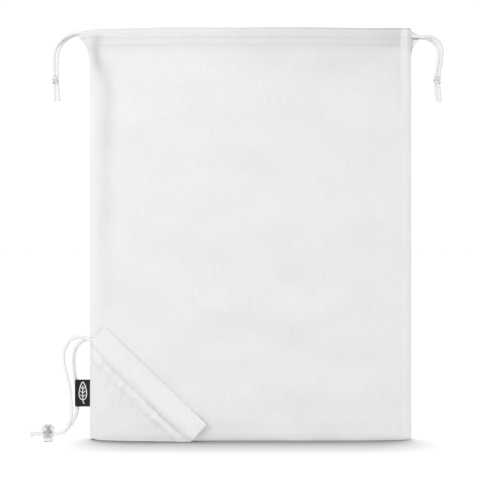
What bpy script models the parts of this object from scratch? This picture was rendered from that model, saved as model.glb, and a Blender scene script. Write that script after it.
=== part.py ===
"""Drawstring laundry bag with a stow-away corner pouch, as separate sub-parts.

Metres, +Z up, front towards -Y. The bag stands on its bottom seam at Z = 0, centred on X and Y.
"""

import math

import bmesh
import bpy
from mathutils import Vector

# ---- driving dimensions -------------------------------------------------------------------

CLOTH = 0.0008  # wall of every sheet of cloth
GAP = 0.0003  # clearance between pieces that touch
HALF_WIDTH = 0.244  # side seam to centre line
HEIGHT = 0.626  # floor to the fold of the top hem
HEM_HEIGHT = 0.0277  # depth of the cord channel along the mouth
SEAM_HALF = 0.0006  # half the thickness of a seam allowance
SEAM_WIDTH = 0.015  # how far a seam allowance reaches into the bag
PANEL_EDGE = SEAM_HALF + GAP + CLOTH / 2  # where a panel's middle surface meets a seam
EDGE_POWER = 5.0  # how square the bag's plan outline is
BASE_HALF_DEPTH = 0.018  # flat stretch of each panel on the floor
# height above the floor and the panel's bulge there, halfway between the side seams
BULGE = [
    (0.003, 0.0205),
    (0.010, 0.0240),
    (0.030, 0.0275),
    (0.070, 0.0300),
    (0.130, 0.0318),
    (0.200, 0.0320),
    (0.280, 0.0312),
    (0.360, 0.0295),
    (0.430, 0.0265),
    (0.490, 0.0230),
    (0.540, 0.0185),
    (0.572, 0.0150),
    (0.598, 0.0117),
]
PANEL_COLUMNS = 20

MOUTH_HALF = 0.013  # centre of the open mouth to the middle of a hem
MOUTH_END_HALF = 0.0065  # the same beside the ears, where the hems run parallel
MOUTH_WIDE_TO = 0.110  # the mouth keeps its width out to here
MOUTH_NARROW_FROM = 0.185  # and is narrow from here to the ears
EAR_TIP = 0.258
HEM_HALF_THICK = 0.0040
EAR_HALF_HEIGHT = 0.00675
EAR_MIDDLE = 0.6155
EAR_START = 0.232  # the hem starts to taper here
RING_SIDES = 16
RING_POWER = 0.6  # how square a channel's section is

CORD = 0.0048  # diameter of all the cords
CORD_HIGH = 0.6182  # lane of the left drawcord in the channels
CORD_LOW = 0.6128  # lane of the right drawcord
LANE_END = 0.190  # where the sliding end of a drawcord begins inside the channel

POUCH_HALF_WIDTH = 0.2458
POUCH_SIDE_HEIGHT = 0.146
POUCH_BASE_WIDTH = 0.1538
POUCH_STAND_OFF = 0.010  # how far the pouch stands off the bag's panel
POUCH_FLARE = 0.0022  # how far its mouth opens past the side seam
BAND_WIDTH = 0.0365
BAND_HALF_THICK = 0.0042
BAND_CORD = 0.0078  # cord centre above the band's lower stitch line
BAND_STATIONS = 14

STOPPER = Vector((-0.304, -0.027, 0.0))
BALL_RADIUS = 0.0101
BALL_TOP = 0.0266
COLLAR_RADIUS = 0.0080
COLLAR_BOTTOM = 0.0068
COLLAR_TOP = 0.0110
BORE_RADIUS = 0.0067
BORE_TOP = 0.0193
SPRING_BORE_RADIUS = 0.0040
SPRING_BORE_TOP = 0.0233
PLUNGER_RADIUS = 0.00645
PLUNGER_FOOT = 0.0001
PLUNGER_TOP = 0.0161
PLUNGER_TRAVEL = 0.003
STOPPER_CORD_Z = 0.0122
SLOT_HALF_WIDTH = 0.0054
SLOT_HALF_HEIGHT = 0.0027
SPRING_RADIUS = 0.0029
SPRING_WIRE = 0.0007
SPRING_TURNS = 4

LABEL_X = -0.2468
LABEL_TIP = -0.2668
LABEL_BOTTOM = 0.0496
LABEL_TOP = 0.0907
LABEL_SHEET = 0.0004

WHITE_CLOTH = (0.90, 0.90, 0.91)
WHITE_CORD = (0.93, 0.93, 0.93)
CLEAR = (0.93, 0.95, 0.96)
BLACK = (0.012, 0.012, 0.013)
STEEL = (0.62, 0.62, 0.63)


# ---- helpers ------------------------------------------------------------------------------


def clear_scene():
    for obj in list(bpy.data.objects):
        bpy.data.objects.remove(obj, do_unlink=True)


def new_collection(name):
    collection = bpy.data.collections.new(name)
    bpy.context.scene.collection.children.link(collection)
    return collection


def new_material(name, colour, roughness, metallic=0.0, alpha=1.0):
    material = bpy.data.materials.new(name)
    material.use_nodes = True
    shader = material.node_tree.nodes["Principled BSDF"]
    shader.inputs["Base Color"].default_value = (*colour, 1.0)
    shader.inputs["Roughness"].default_value = roughness
    shader.inputs["Metallic"].default_value = metallic
    shader.inputs["Alpha"].default_value = alpha
    material.diffuse_color = (*colour, alpha)
    return material


def add_object(name, data, collection, material):
    obj = bpy.data.objects.new(name, data)
    collection.objects.link(obj)
    if material:
        data.materials.append(material)
    return obj


def solidify(obj, thickness, offset):
    shell = obj.modifiers.new("cloth", "SOLIDIFY")
    shell.thickness = thickness
    shell.offset = offset


def grid_mesh(name, rows, closed=False):
    """A sheet through rows of points; a row of one point closes to a corner."""
    mesh = bpy.data.meshes.new(name)
    shape = bmesh.new()
    lines = [[shape.verts.new(point) for point in row] for row in rows]
    for lower, upper in zip(lines, lines[1:]):
        steps = len(upper) if closed else len(upper) - 1
        for i in range(steps):
            j = (i + 1) % len(upper)
            if len(lower) == 1:
                shape.faces.new((lower[0], upper[j], upper[i]))
            else:
                shape.faces.new((lower[i], lower[j], upper[j], upper[i]))
    shape.to_mesh(mesh)
    shape.free()
    return mesh


def add_sheet(name, rows, material):
    obj = add_object(name, grid_mesh(name, rows), PARTS, material)
    solidify(obj, CLOTH, 0.0)
    return obj


def add_channel(name, rings, material):
    """A flattened tube of cloth, open at both ends."""
    obj = add_object(name, grid_mesh(name, rings, closed=True), PARTS, material)
    solidify(obj, CLOTH, -1.0)
    return obj


def add_bar(name, low, high, material):
    mesh = bpy.data.meshes.new(name)
    shape = bmesh.new()
    bmesh.ops.create_cube(shape, size=1.0)
    middle = (Vector(low) + Vector(high)) / 2
    size = Vector(high) - Vector(low)
    for vert in shape.verts:
        vert.co = Vector(a * b for a, b in zip(vert.co, size))
    shape.to_mesh(mesh)
    shape.free()
    obj = add_object(name, mesh, PARTS, material)
    obj.location = middle
    return obj


def smooth_route(points, step):
    """Points about one step apart on a smooth curve through the route's points."""
    points = [Vector(point) for point in points]
    before = points[0] * 2 - points[1]
    after = points[-1] * 2 - points[-2]
    line = [before, *points, after]
    route = []
    for a, b, c, d in zip(line, line[1:], line[2:], line[3:]):
        count = max(1, round((c - b).length / step))
        for i in range(count):
            t = i / count
            route.append(
                0.5
                * (
                    2 * b
                    + (c - a) * t
                    + (2 * a - 5 * b + 4 * c - d) * t**2
                    + (3 * b - a - 3 * c + d) * t**3
                )
            )
    return [*route, points[-1]]


def add_cord(name, route, diameter, material):
    curve = bpy.data.curves.new(name, "CURVE")
    curve.dimensions = "3D"
    curve.bevel_depth = diameter / 2
    curve.bevel_resolution = 2
    curve.use_fill_caps = True
    spline = curve.splines.new("POLY")
    spline.points.add(len(route) - 1)
    for point, place in zip(spline.points, route):
        point.co = (*place, 1.0)
    return add_object(name, curve, PARTS, material)


def add_turned(name, profile, steps, collection, material):
    """A profile of (radius, height), from the top of its outer side down, turned about Z."""
    mesh = bpy.data.meshes.new(name)
    shape = bmesh.new()
    verts = [shape.verts.new((radius, 0, height)) for radius, height in profile]
    for a, b in zip(verts, verts[1:]):
        shape.edges.new((a, b))
    shape.to_mesh(mesh)
    shape.free()
    obj = add_object(name, mesh, collection, material)
    screw = obj.modifiers.new("turn", "SCREW")
    screw.steps = steps
    screw.render_steps = steps
    screw.use_merge_vertices = True
    screw.merge_threshold = 0.00001
    return obj


def arc(centre, radius, start, end, steps):
    """Points (radius, height) on an arc; angles in degrees, 0 outward and 90 up."""
    angles = [math.radians(start + (end - start) * i / steps) for i in range(steps + 1)]
    return [(centre[0] + radius * math.cos(a), centre[1] + radius * math.sin(a)) for a in angles]


def add_slot(name, target, low, high):
    """A rounded slot through the target along X, cut between two heights."""
    mesh = bpy.data.meshes.new(name)
    shape = bmesh.new()
    bmesh.ops.create_cube(shape, size=1.0)
    height = high - low
    for vert in shape.verts:
        vert.co = Vector((vert.co.x * 0.03, vert.co.y * 2 * SLOT_HALF_WIDTH, vert.co.z * height))
    along_x = [e for e in shape.edges if abs(e.verts[0].co.x - e.verts[1].co.x) > 0.01]
    bmesh.ops.bevel(shape, geom=along_x, offset=0.0022, segments=4, affect="EDGES", profile=0.5)
    shape.to_mesh(mesh)
    shape.free()
    cutter = add_object(name, mesh, CUTTERS, None)
    cutter.location = STOPPER + Vector((0, 0, (low + high) / 2))
    cutter.hide_render = True
    cutter.display_type = "WIRE"
    cut = target.modifiers.new(name, "BOOLEAN")
    cut.operation = "DIFFERENCE"
    cut.object = cutter
    cut.solver = "EXACT"


def blend(value, low, high):
    t = min(1.0, max(0.0, (value - low) / (high - low)))
    return t * t * (3 - 2 * t)


def mirrored(points):
    return [Vector((p[0], -p[1], p[2])) for p in points]


# ---- the bag's shape ----------------------------------------------------------------------


def roundness(x, half_width):
    """1 on the centre line, falling to 0 in a round shoulder at the side."""
    return math.sqrt(max(0.0, 1 - (abs(x) / half_width) ** EDGE_POWER))


def bulge(z):
    if z <= BULGE[0][0]:
        return BULGE[0][1]
    for (low, near), (high, far) in zip(BULGE, BULGE[1:]):
        if z <= high:
            return near + (far - near) * (z - low) / (high - low)
    return BULGE[-1][1]


def mouth_half(x):
    """Half the mouth's width between the middles of the hems."""
    return MOUTH_HALF + (MOUTH_END_HALF - MOUTH_HALF) * blend(
        abs(x), MOUTH_WIDE_TO, MOUTH_NARROW_FROM
    )


def panel_depth(x, z):
    body = PANEL_EDGE + bulge(z) * roundness(x, HALF_WIDTH)
    mouth = mouth_half(x)
    return body + (mouth - body) * blend(z, 0.530, 0.598)


def panel_rows():
    """Rows of the front panel, from its seam under the bag up to the hem."""
    columns = [
        HALF_WIDTH * math.sin(math.pi * (i / PANEL_COLUMNS - 0.5))
        for i in range(PANEL_COLUMNS + 1)
    ]
    floor = CLOTH / 2
    least = 0.001  # the flat under the bag never closes to nothing
    rows = []
    for share in (0.0, 0.88, 1.0):
        flat = [max(BASE_HALF_DEPTH * roundness(x, HALF_WIDTH), least) for x in columns]
        rows.append([(x, -PANEL_EDGE - share * y, floor) for x, y in zip(columns, flat)])
    for z, depth in BULGE:
        if z < 0.010:
            flat = [max(depth * roundness(x, HALF_WIDTH), least) for x in columns]
            rows.append([(x, -PANEL_EDGE - y, z) for x, y in zip(columns, flat)])
        else:
            rows.append([(x, -panel_depth(x, z), z) for x in columns])
    return rows


def add_panels(material):
    rows = panel_rows()
    add_sheet("front_panel", rows, material)
    add_sheet("back_panel", [mirrored(reversed(row)) for row in rows], material)


def add_seams(material):
    inner = HALF_WIDTH - SEAM_WIDTH
    top = HEIGHT - HEM_HEIGHT - 0.001
    add_bar(
        "bottom_seam",
        (-HALF_WIDTH, -SEAM_HALF, 0),
        (HALF_WIDTH, SEAM_HALF, SEAM_WIDTH),
        material,
    )
    bottom = SEAM_WIDTH + GAP
    add_bar("left_side_seam", (-HALF_WIDTH, -SEAM_HALF, bottom), (-inner, SEAM_HALF, top), material)
    add_bar("right_side_seam", (inner, -SEAM_HALF, bottom), (HALF_WIDTH, SEAM_HALF, top), material)


def ring(middle, across, through, half_across, half_through):
    """A squarish loop of points around a channel."""
    points = []
    for i in range(RING_SIDES):
        angle = 2 * math.pi * (i + 0.5) / RING_SIDES
        a = math.copysign(abs(math.cos(angle)) ** RING_POWER, math.cos(angle))
        b = math.copysign(abs(math.sin(angle)) ** RING_POWER, math.sin(angle))
        points.append(middle + across * (a * half_across) + through * (b * half_through))
    return points


def hem_rings():
    half_stations = [0.0, 0.055, 0.110, 0.135, 0.160, 0.185, 0.210, 0.232, 0.241, 0.249, EAR_TIP]
    stations = [-x for x in reversed(half_stations[1:])] + half_stations
    rings = []
    for x in stations:
        ear = blend(abs(x), EAR_START, EAR_TIP)
        half_height = HEM_HEIGHT / 2 + (EAR_HALF_HEIGHT - HEM_HEIGHT / 2) * ear
        middle = HEIGHT - HEM_HEIGHT / 2
        height = middle + (EAR_MIDDLE - middle) * ear
        centre = Vector((x, -mouth_half(x), height))
        rings.append(ring(centre, Vector((0, 0, 1)), Vector((0, -1, 0)), half_height, HEM_HALF_THICK))
    return rings


def add_hems(material):
    rings = hem_rings()
    add_channel("front_hem", rings, material)
    add_channel("back_hem", [mirrored(reversed(loop)) for loop in rings], material)


# ---- the drawcords ------------------------------------------------------------------------


def drawcord_loop(side, height):
    """One drawcord inside both hems, with its turn past the ears; side is +1 where it turns."""
    stations = [LANE_END, 0.160, 0.147, 0.135, 0.110, 0.0]
    front = [Vector((-side * x, -mouth_half(x), height)) for x in stations]
    front += [Vector((side * x, -mouth_half(x), height)) for x in reversed(stations[:-1])]
    front.append(Vector((side * EAR_TIP, -MOUTH_END_HALF, height)))
    turn = []
    for i in range(1, 8):
        angle = math.pi * (i / 8 - 0.5)
        reach = side * (EAR_TIP + MOUTH_END_HALF * math.cos(angle))
        turn.append(Vector((reach, MOUTH_END_HALF * math.sin(angle), height)))
    return front + turn + mirrored(reversed(front))


def lane_start(side, front, height):
    """The hidden straight end of a free strand, which can slide out of the channel."""
    y = front * MOUTH_END_HALF
    return [(side * (LANE_END + 0.005), y, height), (side * 0.228, y, height), (side * EAR_TIP, y, height)]


LEFT_FRONT = lane_start(-1, -1, CORD_HIGH) + [
    (-0.2660, -0.0062, 0.6180),
    (-0.2735, -0.0050, 0.6165),
    (-0.2812, -0.0036, 0.6130),
    (-0.2885, -0.0022, 0.6072),
    (-0.2948, -0.0010, 0.5990),
    (-0.2986, -0.0003, 0.5885),
    (-0.2997, 0.0, 0.5770),
    (-0.2996, 0.0, 0.5660),
    (-0.2990, 0.0, 0.5525),
]
LEFT_BACK = lane_start(-1, 1, CORD_HIGH) + [
    (-0.2655, 0.0064, 0.6176),
    (-0.2722, 0.0058, 0.6153),
    (-0.2790, 0.0044, 0.6110),
    (-0.2855, 0.0026, 0.6045),
    (-0.2905, 0.0010, 0.5965),
    (-0.2934, 0.0002, 0.5870),
    (-0.2945, 0.0, 0.5765),
    (-0.2945, 0.0, 0.5655),
    (-0.2939, 0.0, 0.5525),
]
RIGHT_FRONT = lane_start(1, -1, CORD_LOW) + [
    (0.2660, -0.0063, 0.6130),
    (0.2745, -0.0052, 0.6126),
    (0.2825, -0.0038, 0.6098),
    (0.2888, -0.0024, 0.6035),
    (0.2922, -0.0012, 0.5948),
    (0.2926, -0.0004, 0.5845),
    (0.2912, 0.0, 0.5735),
    (0.2892, 0.0, 0.5620),
    (0.2880, 0.0, 0.5520),
]
RIGHT_BACK = lane_start(1, 1, CORD_LOW) + [
    (0.2655, 0.0064, 0.6124),
    (0.2728, 0.0058, 0.6104),
    (0.2793, 0.0044, 0.6060),
    (0.2842, 0.0026, 0.5995),
    (0.2870, 0.0010, 0.5915),
    (0.2874, 0.0002, 0.5825),
    (0.2861, 0.0, 0.5725),
    (0.2841, 0.0, 0.5615),
    (0.2829, 0.0, 0.5520),
]
LEFT_TAIL_FRONT = [
    (-0.2996, -0.0003, 0.5409),
    (-0.2990, -0.0008, 0.5330),
    (-0.2982, -0.0008, 0.5240),
    (-0.2978, -0.0004, 0.5142),
]
LEFT_TAIL_BACK = [
    (-0.2945, 0.0003, 0.5409),
    (-0.2932, 0.0008, 0.5330),
    (-0.2922, 0.0008, 0.5240),
    (-0.2917, 0.0004, 0.5160),
]
RIGHT_TAIL_FRONT = [
    (0.2876, -0.0003, 0.5407),
    (0.2882, -0.0006, 0.5330),
    (0.2892, -0.0006, 0.5240),
    (0.2900, -0.0003, 0.5132),
]
RIGHT_TAIL_BACK = [
    (0.2824, 0.0003, 0.5407),
    (0.2827, 0.0006, 0.5330),
    (0.2836, 0.0006, 0.5240),
    (0.2846, 0.0003, 0.5150),
]


def add_knot(name, middle, size, material):
    mesh = bpy.data.meshes.new(name)
    shape = bmesh.new()
    bmesh.ops.create_uvsphere(shape, u_segments=16, v_segments=10, radius=0.5)
    for vert in shape.verts:
        vert.co = Vector(a * b for a, b in zip(vert.co, size))
    shape.to_mesh(mesh)
    shape.free()
    mesh.shade_smooth()
    obj = add_object(name, mesh, PARTS, material)
    obj.location = middle


def add_drawcords(material):
    add_cord("drawcord_left_loop", drawcord_loop(1, CORD_HIGH), CORD, material)
    add_cord("drawcord_right_loop", drawcord_loop(-1, CORD_LOW), CORD, material)
    routes = {
        "drawcord_left_front": LEFT_FRONT,
        "drawcord_left_back": LEFT_BACK,
        "drawcord_right_front": RIGHT_FRONT,
        "drawcord_right_back": RIGHT_BACK,
        "left_tail_front": LEFT_TAIL_FRONT,
        "left_tail_back": LEFT_TAIL_BACK,
        "right_tail_front": RIGHT_TAIL_FRONT,
        "right_tail_back": RIGHT_TAIL_BACK,
    }
    for name, route in routes.items():
        add_cord(name, smooth_route(route, 0.011), CORD, material)
    add_knot("drawcord_left_knot", (-0.2967, 0, 0.5467), (0.0108, 0.0086, 0.0109), material)
    add_knot("drawcord_right_knot", (0.2853, 0, 0.5464), (0.0118, 0.0086, 0.0106), material)


# ---- the corner pouch ---------------------------------------------------------------------


def pouch_depth(x, z, half_width):
    return PANEL_EDGE + (bulge(z) + POUCH_STAND_OFF) * roundness(x, half_width)


def pouch_corners():
    """The ends of the pouch's mouth line, beside the side seam and beside the floor."""
    side = Vector((-POUCH_HALF_WIDTH, 0, POUCH_SIDE_HEIGHT))
    base = Vector((-POUCH_HALF_WIDTH + POUCH_BASE_WIDTH, 0, CLOTH))
    return side, base


def pouch_rows():
    side, base = pouch_corners()
    corner = Vector((-POUCH_HALF_WIDTH, 0, CLOTH))
    rows = []
    for v in (0.0, 0.05, 0.15, 0.28, 0.42, 0.56, 0.70, 0.83, 0.93, 0.985):
        half_width = POUCH_HALF_WIDTH + POUCH_FLARE * v**6
        row = []
        for u in [math.sin(math.pi / 2 * i / 12) ** 1.5 for i in range(13)]:
            point = corner + v * ((1 - u) * (side - corner) + u * (base - corner))
            point.y = -pouch_depth(point.x, point.z, half_width)
            row.append(point)
        rows.append(row if v else row[:1])
    return rows


def band_point(s, t):
    """A point of the band: s along it from the side to the base, t metres across it."""
    side, base = pouch_corners()
    along = (base - side).normalized()
    across = Vector((-along.z, 0, along.x))
    point = side + (base - side) * s + across * t
    half_width = POUCH_HALF_WIDTH + POUCH_FLARE
    point.y = -pouch_depth(point.x, point.z, half_width)
    return point


def band_shares():
    """How far along the band its sections lie, closest where it bends round the side."""
    return [0.004 + 0.992 * (i / BAND_STATIONS) ** 1.4 for i in range(BAND_STATIONS + 1)]


def band_rings():
    side, base = pouch_corners()
    along = (base - side).normalized()
    rings = []
    for s in band_shares():
        loop = []
        for j in range(RING_SIDES):
            angle = 2 * math.pi * (j + 0.5) / RING_SIDES
            a = math.copysign(abs(math.cos(angle)) ** RING_POWER, math.cos(angle))
            b = math.copysign(abs(math.sin(angle)) ** RING_POWER, math.sin(angle))
            t = BAND_WIDTH / 2 * (1 + a)
            middle = band_point(s, t)
            slope = (band_point(s, t + 0.001) - band_point(s, t - 0.001)).normalized()
            outward = along.cross(slope).normalized()
            loop.append(middle + outward * (b * BAND_HALF_THICK))
        rings.append(loop)
    return rings


def add_pouch(material):
    rows = pouch_rows()
    add_sheet("pouch_front", rows, material)
    add_sheet("pouch_back", [mirrored(reversed(row)) for row in rows], material)
    rings = band_rings()
    add_channel("pouch_band_front", rings, material)
    add_channel("pouch_band_back", [mirrored(reversed(loop)) for loop in rings], material)


POUCH_OUTER = [
    (-0.2475, -0.0168, 0.1535),
    (-0.2545, -0.0160, 0.1566),
    (-0.2630, -0.0152, 0.1564),
    (-0.2715, -0.0146, 0.1526),
    (-0.2785, -0.0143, 0.1440),
    (-0.2822, -0.0142, 0.1320),
    (-0.2824, -0.0145, 0.1190),
    (-0.2800, -0.0152, 0.1065),
    (-0.2762, -0.0165, 0.0940),
    (-0.2730, -0.0185, 0.0805),
    (-0.2708, -0.0212, 0.0660),
    (-0.2694, -0.0242, 0.0520),
    (-0.2694, -0.0268, 0.0400),
    (-0.2716, -0.0286, 0.0295),
    (-0.2758, -0.0294, 0.0212),
    (-0.2820, -0.0296, 0.0148),
    (-0.2893, -0.0296, STOPPER_CORD_Z + 0.0001),
    (-0.2965, -0.0296, STOPPER_CORD_Z),
    (-0.3040, -0.0296, STOPPER_CORD_Z),
    (-0.3140, -0.0296, STOPPER_CORD_Z),
    (-0.3220, -0.0297, STOPPER_CORD_Z + 0.0001),
    (-0.3310, -0.0300, STOPPER_CORD_Z + 0.0020),
]
POUCH_INNER = [
    (-0.2475, 0.0160, 0.1510),
    (-0.2550, 0.0146, 0.1492),
    (-0.2622, 0.0128, 0.1446),
    (-0.2672, 0.0114, 0.1372),
    (-0.2696, 0.0104, 0.1265),
    (-0.2702, 0.0098, 0.1150),
    (-0.2694, 0.0095, 0.1035),
    (-0.2674, 0.0093, 0.0920),
    (-0.2656, 0.0091, 0.0805),
    (-0.2645, 0.0088, 0.0695),
    (-0.2638, 0.0080, 0.0590),
    (-0.2638, 0.0058, 0.0495),
    (-0.2648, 0.0008, 0.0400),
    (-0.2672, -0.0062, 0.0322),
    (-0.2710, -0.0132, 0.0250),
    (-0.2764, -0.0192, 0.0184),
    (-0.2826, -0.0232, 0.0138),
    (-0.2893, -0.0244, STOPPER_CORD_Z + 0.0001),
    (-0.2965, -0.0244, STOPPER_CORD_Z),
    (-0.3040, -0.0244, STOPPER_CORD_Z),
    (-0.3140, -0.0244, STOPPER_CORD_Z),
    (-0.3220, -0.0243, STOPPER_CORD_Z - 0.0001),
    (-0.3310, -0.0240, STOPPER_CORD_Z - 0.0026),
]


def add_pouch_cord(material):
    run = [band_point(s, BAND_CORD) for s in band_shares()[2:-1]]
    add_cord("pouch_cord_front_run", run, CORD, material)
    add_cord("pouch_cord_back_run", mirrored(run), CORD, material)
    end = [band_point(s, BAND_CORD) for s in (0.060, band_shares()[1], 0.010)]
    add_cord("pouch_cord_outer", smooth_route([*end, *POUCH_OUTER], 0.009), CORD, material)
    add_cord("pouch_cord_inner", smooth_route([*mirrored(end), *POUCH_INNER], 0.009), CORD, material)


# ---- the cord stopper ---------------------------------------------------------------------


def add_stopper(clear, steel):
    collar = [(COLLAR_RADIUS, COLLAR_TOP), (COLLAR_RADIUS, COLLAR_BOTTOM + 0.0004)]
    bore = [
        (COLLAR_RADIUS - 0.0004, COLLAR_BOTTOM),
        (BORE_RADIUS, COLLAR_BOTTOM),
        (BORE_RADIUS, BORE_TOP),
        (SPRING_BORE_RADIUS, BORE_TOP),
        (SPRING_BORE_RADIUS, SPRING_BORE_TOP),
        (0.0, SPRING_BORE_TOP),
    ]
    drop = math.degrees(math.acos(COLLAR_RADIUS / BALL_RADIUS))
    dome = arc((0.0, BALL_TOP - BALL_RADIUS), BALL_RADIUS, 90, -drop, 14)
    ball = add_turned("stopper_ball", dome + collar[1:] + bore, 28, PARTS, clear)
    ball.location = STOPPER
    low = STOPPER_CORD_Z - SLOT_HALF_HEIGHT
    high = STOPPER_CORD_Z + SLOT_HALF_HEIGHT
    add_slot("ball_slot", ball, low, high)

    edge = 0.0008
    profile = [
        (0.0, PLUNGER_TOP),
        (PLUNGER_RADIUS - edge, PLUNGER_TOP),
        (PLUNGER_RADIUS, PLUNGER_TOP - edge),
        (PLUNGER_RADIUS, PLUNGER_FOOT + edge),
        (PLUNGER_RADIUS - edge, PLUNGER_FOOT),
        (0.0, PLUNGER_FOOT),
    ]
    plunger = add_turned("stopper_plunger", profile, 28, PARTS, clear)
    plunger.location = STOPPER
    add_slot("plunger_slot", plunger, low - PLUNGER_TRAVEL - GAP, high)

    turns = []
    foot = PLUNGER_TOP + GAP + SPRING_WIRE / 2
    head = SPRING_BORE_TOP - GAP - SPRING_WIRE / 2
    steps = SPRING_TURNS * 12
    for i in range(steps + 1):
        angle = 2 * math.pi * SPRING_TURNS * i / steps
        height = foot + (head - foot) * i / steps
        across = Vector((math.cos(angle), math.sin(angle), 0)) * SPRING_RADIUS
        turns.append(STOPPER + across + Vector((0, 0, height)))
    add_cord("stopper_spring", turns, SPRING_WIRE, steel)


# ---- the side label -----------------------------------------------------------------------


def add_label(material):
    """A woven strip folded in two, held by its cut ends in the side seam."""
    half = 0.0005
    angles = [math.pi * i / 6 for i in range(7)]
    fold = [(LABEL_TIP + half - half * math.sin(a), -half * math.cos(a)) for a in angles]
    outline = [(LABEL_X, -half), *fold, (LABEL_X, half)]
    middle = Vector((LABEL_X, 0, 0))
    rows = [[Vector((x, y, z)) - middle for x, y in outline] for z in (LABEL_BOTTOM, LABEL_TOP)]
    obj = add_object("side_label", grid_mesh("side_label", rows), PARTS, material)
    obj.location = middle
    solidify(obj, LABEL_SHEET, 0.0)


clear_scene()
PARTS = new_collection("laundry_bag")
CUTTERS = new_collection("cutters")
cloth = new_material("white_polyester", WHITE_CLOTH, 0.75)
cord_fibre = new_material("white_cord", WHITE_CORD, 0.7)
clear_plastic = new_material("clear_plastic", CLEAR, 0.1, alpha=0.5)
black_weave = new_material("black_woven_label", BLACK, 0.6)
steel_wire = new_material("spring_steel", STEEL, 0.3, metallic=1.0)
add_panels(cloth)
add_seams(cloth)
add_hems(cloth)
add_drawcords(cord_fibre)
add_pouch(cloth)
add_pouch_cord(cord_fibre)
add_stopper(clear_plastic, steel_wire)
add_label(black_weave)
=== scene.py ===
"""Looks of the drawstring laundry bag: sewn cloth, cords, corner pouch, stopper and label.

Metres, +Z up, the front towards -Y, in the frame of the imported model.
"""

import math
import random

import bmesh
import bpy
import numpy as np
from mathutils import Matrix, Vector


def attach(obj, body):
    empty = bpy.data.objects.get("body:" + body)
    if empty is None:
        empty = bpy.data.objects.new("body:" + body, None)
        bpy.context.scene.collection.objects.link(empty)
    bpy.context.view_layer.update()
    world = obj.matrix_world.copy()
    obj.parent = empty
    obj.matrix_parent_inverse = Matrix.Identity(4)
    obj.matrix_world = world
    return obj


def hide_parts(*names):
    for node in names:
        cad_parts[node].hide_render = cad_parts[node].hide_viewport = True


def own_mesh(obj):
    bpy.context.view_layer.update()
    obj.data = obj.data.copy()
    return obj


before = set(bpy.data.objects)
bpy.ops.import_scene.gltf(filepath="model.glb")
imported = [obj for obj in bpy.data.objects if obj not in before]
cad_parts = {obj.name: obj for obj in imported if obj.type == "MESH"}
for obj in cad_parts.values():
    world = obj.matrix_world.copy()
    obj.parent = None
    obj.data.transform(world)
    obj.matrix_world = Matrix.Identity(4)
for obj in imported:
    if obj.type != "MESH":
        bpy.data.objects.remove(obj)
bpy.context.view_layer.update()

# ---- the bag's dimensions, as in the CAD ----

CLOTH = 0.0004  # real thickness shown for the cloth
PANEL_EDGE = 0.0013
HALF_WIDTH = 0.244
HEIGHT = 0.626
EDGE_POWER = 5.0
BASE_HALF_DEPTH = 0.018
BULGE = [
    (0.003, 0.0205), (0.010, 0.0240), (0.030, 0.0275), (0.070, 0.0300), (0.130, 0.0318),
    (0.200, 0.0320), (0.280, 0.0312), (0.360, 0.0295), (0.430, 0.0265), (0.490, 0.0230),
    (0.540, 0.0185), (0.572, 0.0150), (0.598, 0.0117),
]
MOUTH_HALF = 0.013
MOUTH_END_HALF = 0.0065
MOUTH_WIDE_TO = 0.110
MOUTH_NARROW_FROM = 0.185
EAR_TIP = 0.258
CORD = 0.0048
WEAVE_PITCH = 0.00052
BRAID_PITCH = 0.0017
BRAID_UV = 0.015  # metres of cord in one unit of its UV map
CORD_HIGH = 0.6182
CORD_LOW = 0.6128
LANE_END = 0.190
STITCH_HIGH = 0.6096  # upper stitch line of the hem, under the cord channel
STITCH_LOW = 0.5988  # lower stitch line of the hem

POUCH_HALF_WIDTH = 0.2434
POUCH_SIDE_HEIGHT = 0.146
POUCH_BASE_WIDTH = 0.1530
POUCH_FOOT = 0.0008  # height of its lower edge
POUCH_STAND_OFF = 0.010
POUCH_FLARE = 0.0010
BAND_CORD = 0.0078

STOPPER = Vector((-0.304, -0.027, 0.0))
BALL_RADIUS = 0.0101
BALL_TOP = 0.0266
STOPPER_CORD_Z = 0.0122
SPRING_LOW = 0.0164
SPRING_HIGH = 0.0230
LABEL_X = -0.2428
LABEL_TIP = -0.2668
LABEL_BOTTOM = 0.0496
LABEL_TOP = 0.0907


# ---- small maths ----


def smooth(value, low, high):
    t = np.clip((np.asarray(value, float) - low) / (high - low), 0.0, 1.0)
    return t * t * (3 - 2 * t)


def between(value, low, high, fall_from, fall_to):
    """Rises from low to high, then falls again."""
    return smooth(value, low, high) * (1 - smooth(value, fall_from, fall_to))


def bell(value, width):
    return np.exp(-((value / width) ** 2))


def unit_rows(vectors):
    return vectors / np.linalg.norm(vectors, axis=1)[:, None]


def roundness(x, half_width):
    return np.sqrt(np.maximum(0.0, 1 - (np.abs(x) / half_width) ** EDGE_POWER))


def bulge(z):
    heights, depths = zip(*BULGE)
    return np.interp(z, heights, depths)


def mouth_half(x):
    narrow = smooth(np.abs(x), MOUTH_WIDE_TO, MOUTH_NARROW_FROM)
    return MOUTH_HALF + (MOUTH_END_HALF - MOUTH_HALF) * narrow


def panel_depth(x, z):
    """How far the outside of a panel stands from the middle plane of the bag."""
    body = PANEL_EDGE + bulge(z) * roundness(x, HALF_WIDTH)
    mouth = mouth_half(x)
    at_side = smooth(np.abs(x), 0.205, 0.243)
    start = 0.530 + 0.052 * at_side
    end = 0.598 + 0.008 * at_side
    t = np.clip((z - start) / (end - start), 0.0, 1.0)
    return body + (mouth - body) * t * t * (3 - 2 * t)


def pouch_depth(x, z, half_width):
    return PANEL_EDGE + (bulge(z) + POUCH_STAND_OFF) * roundness(x, half_width)


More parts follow.
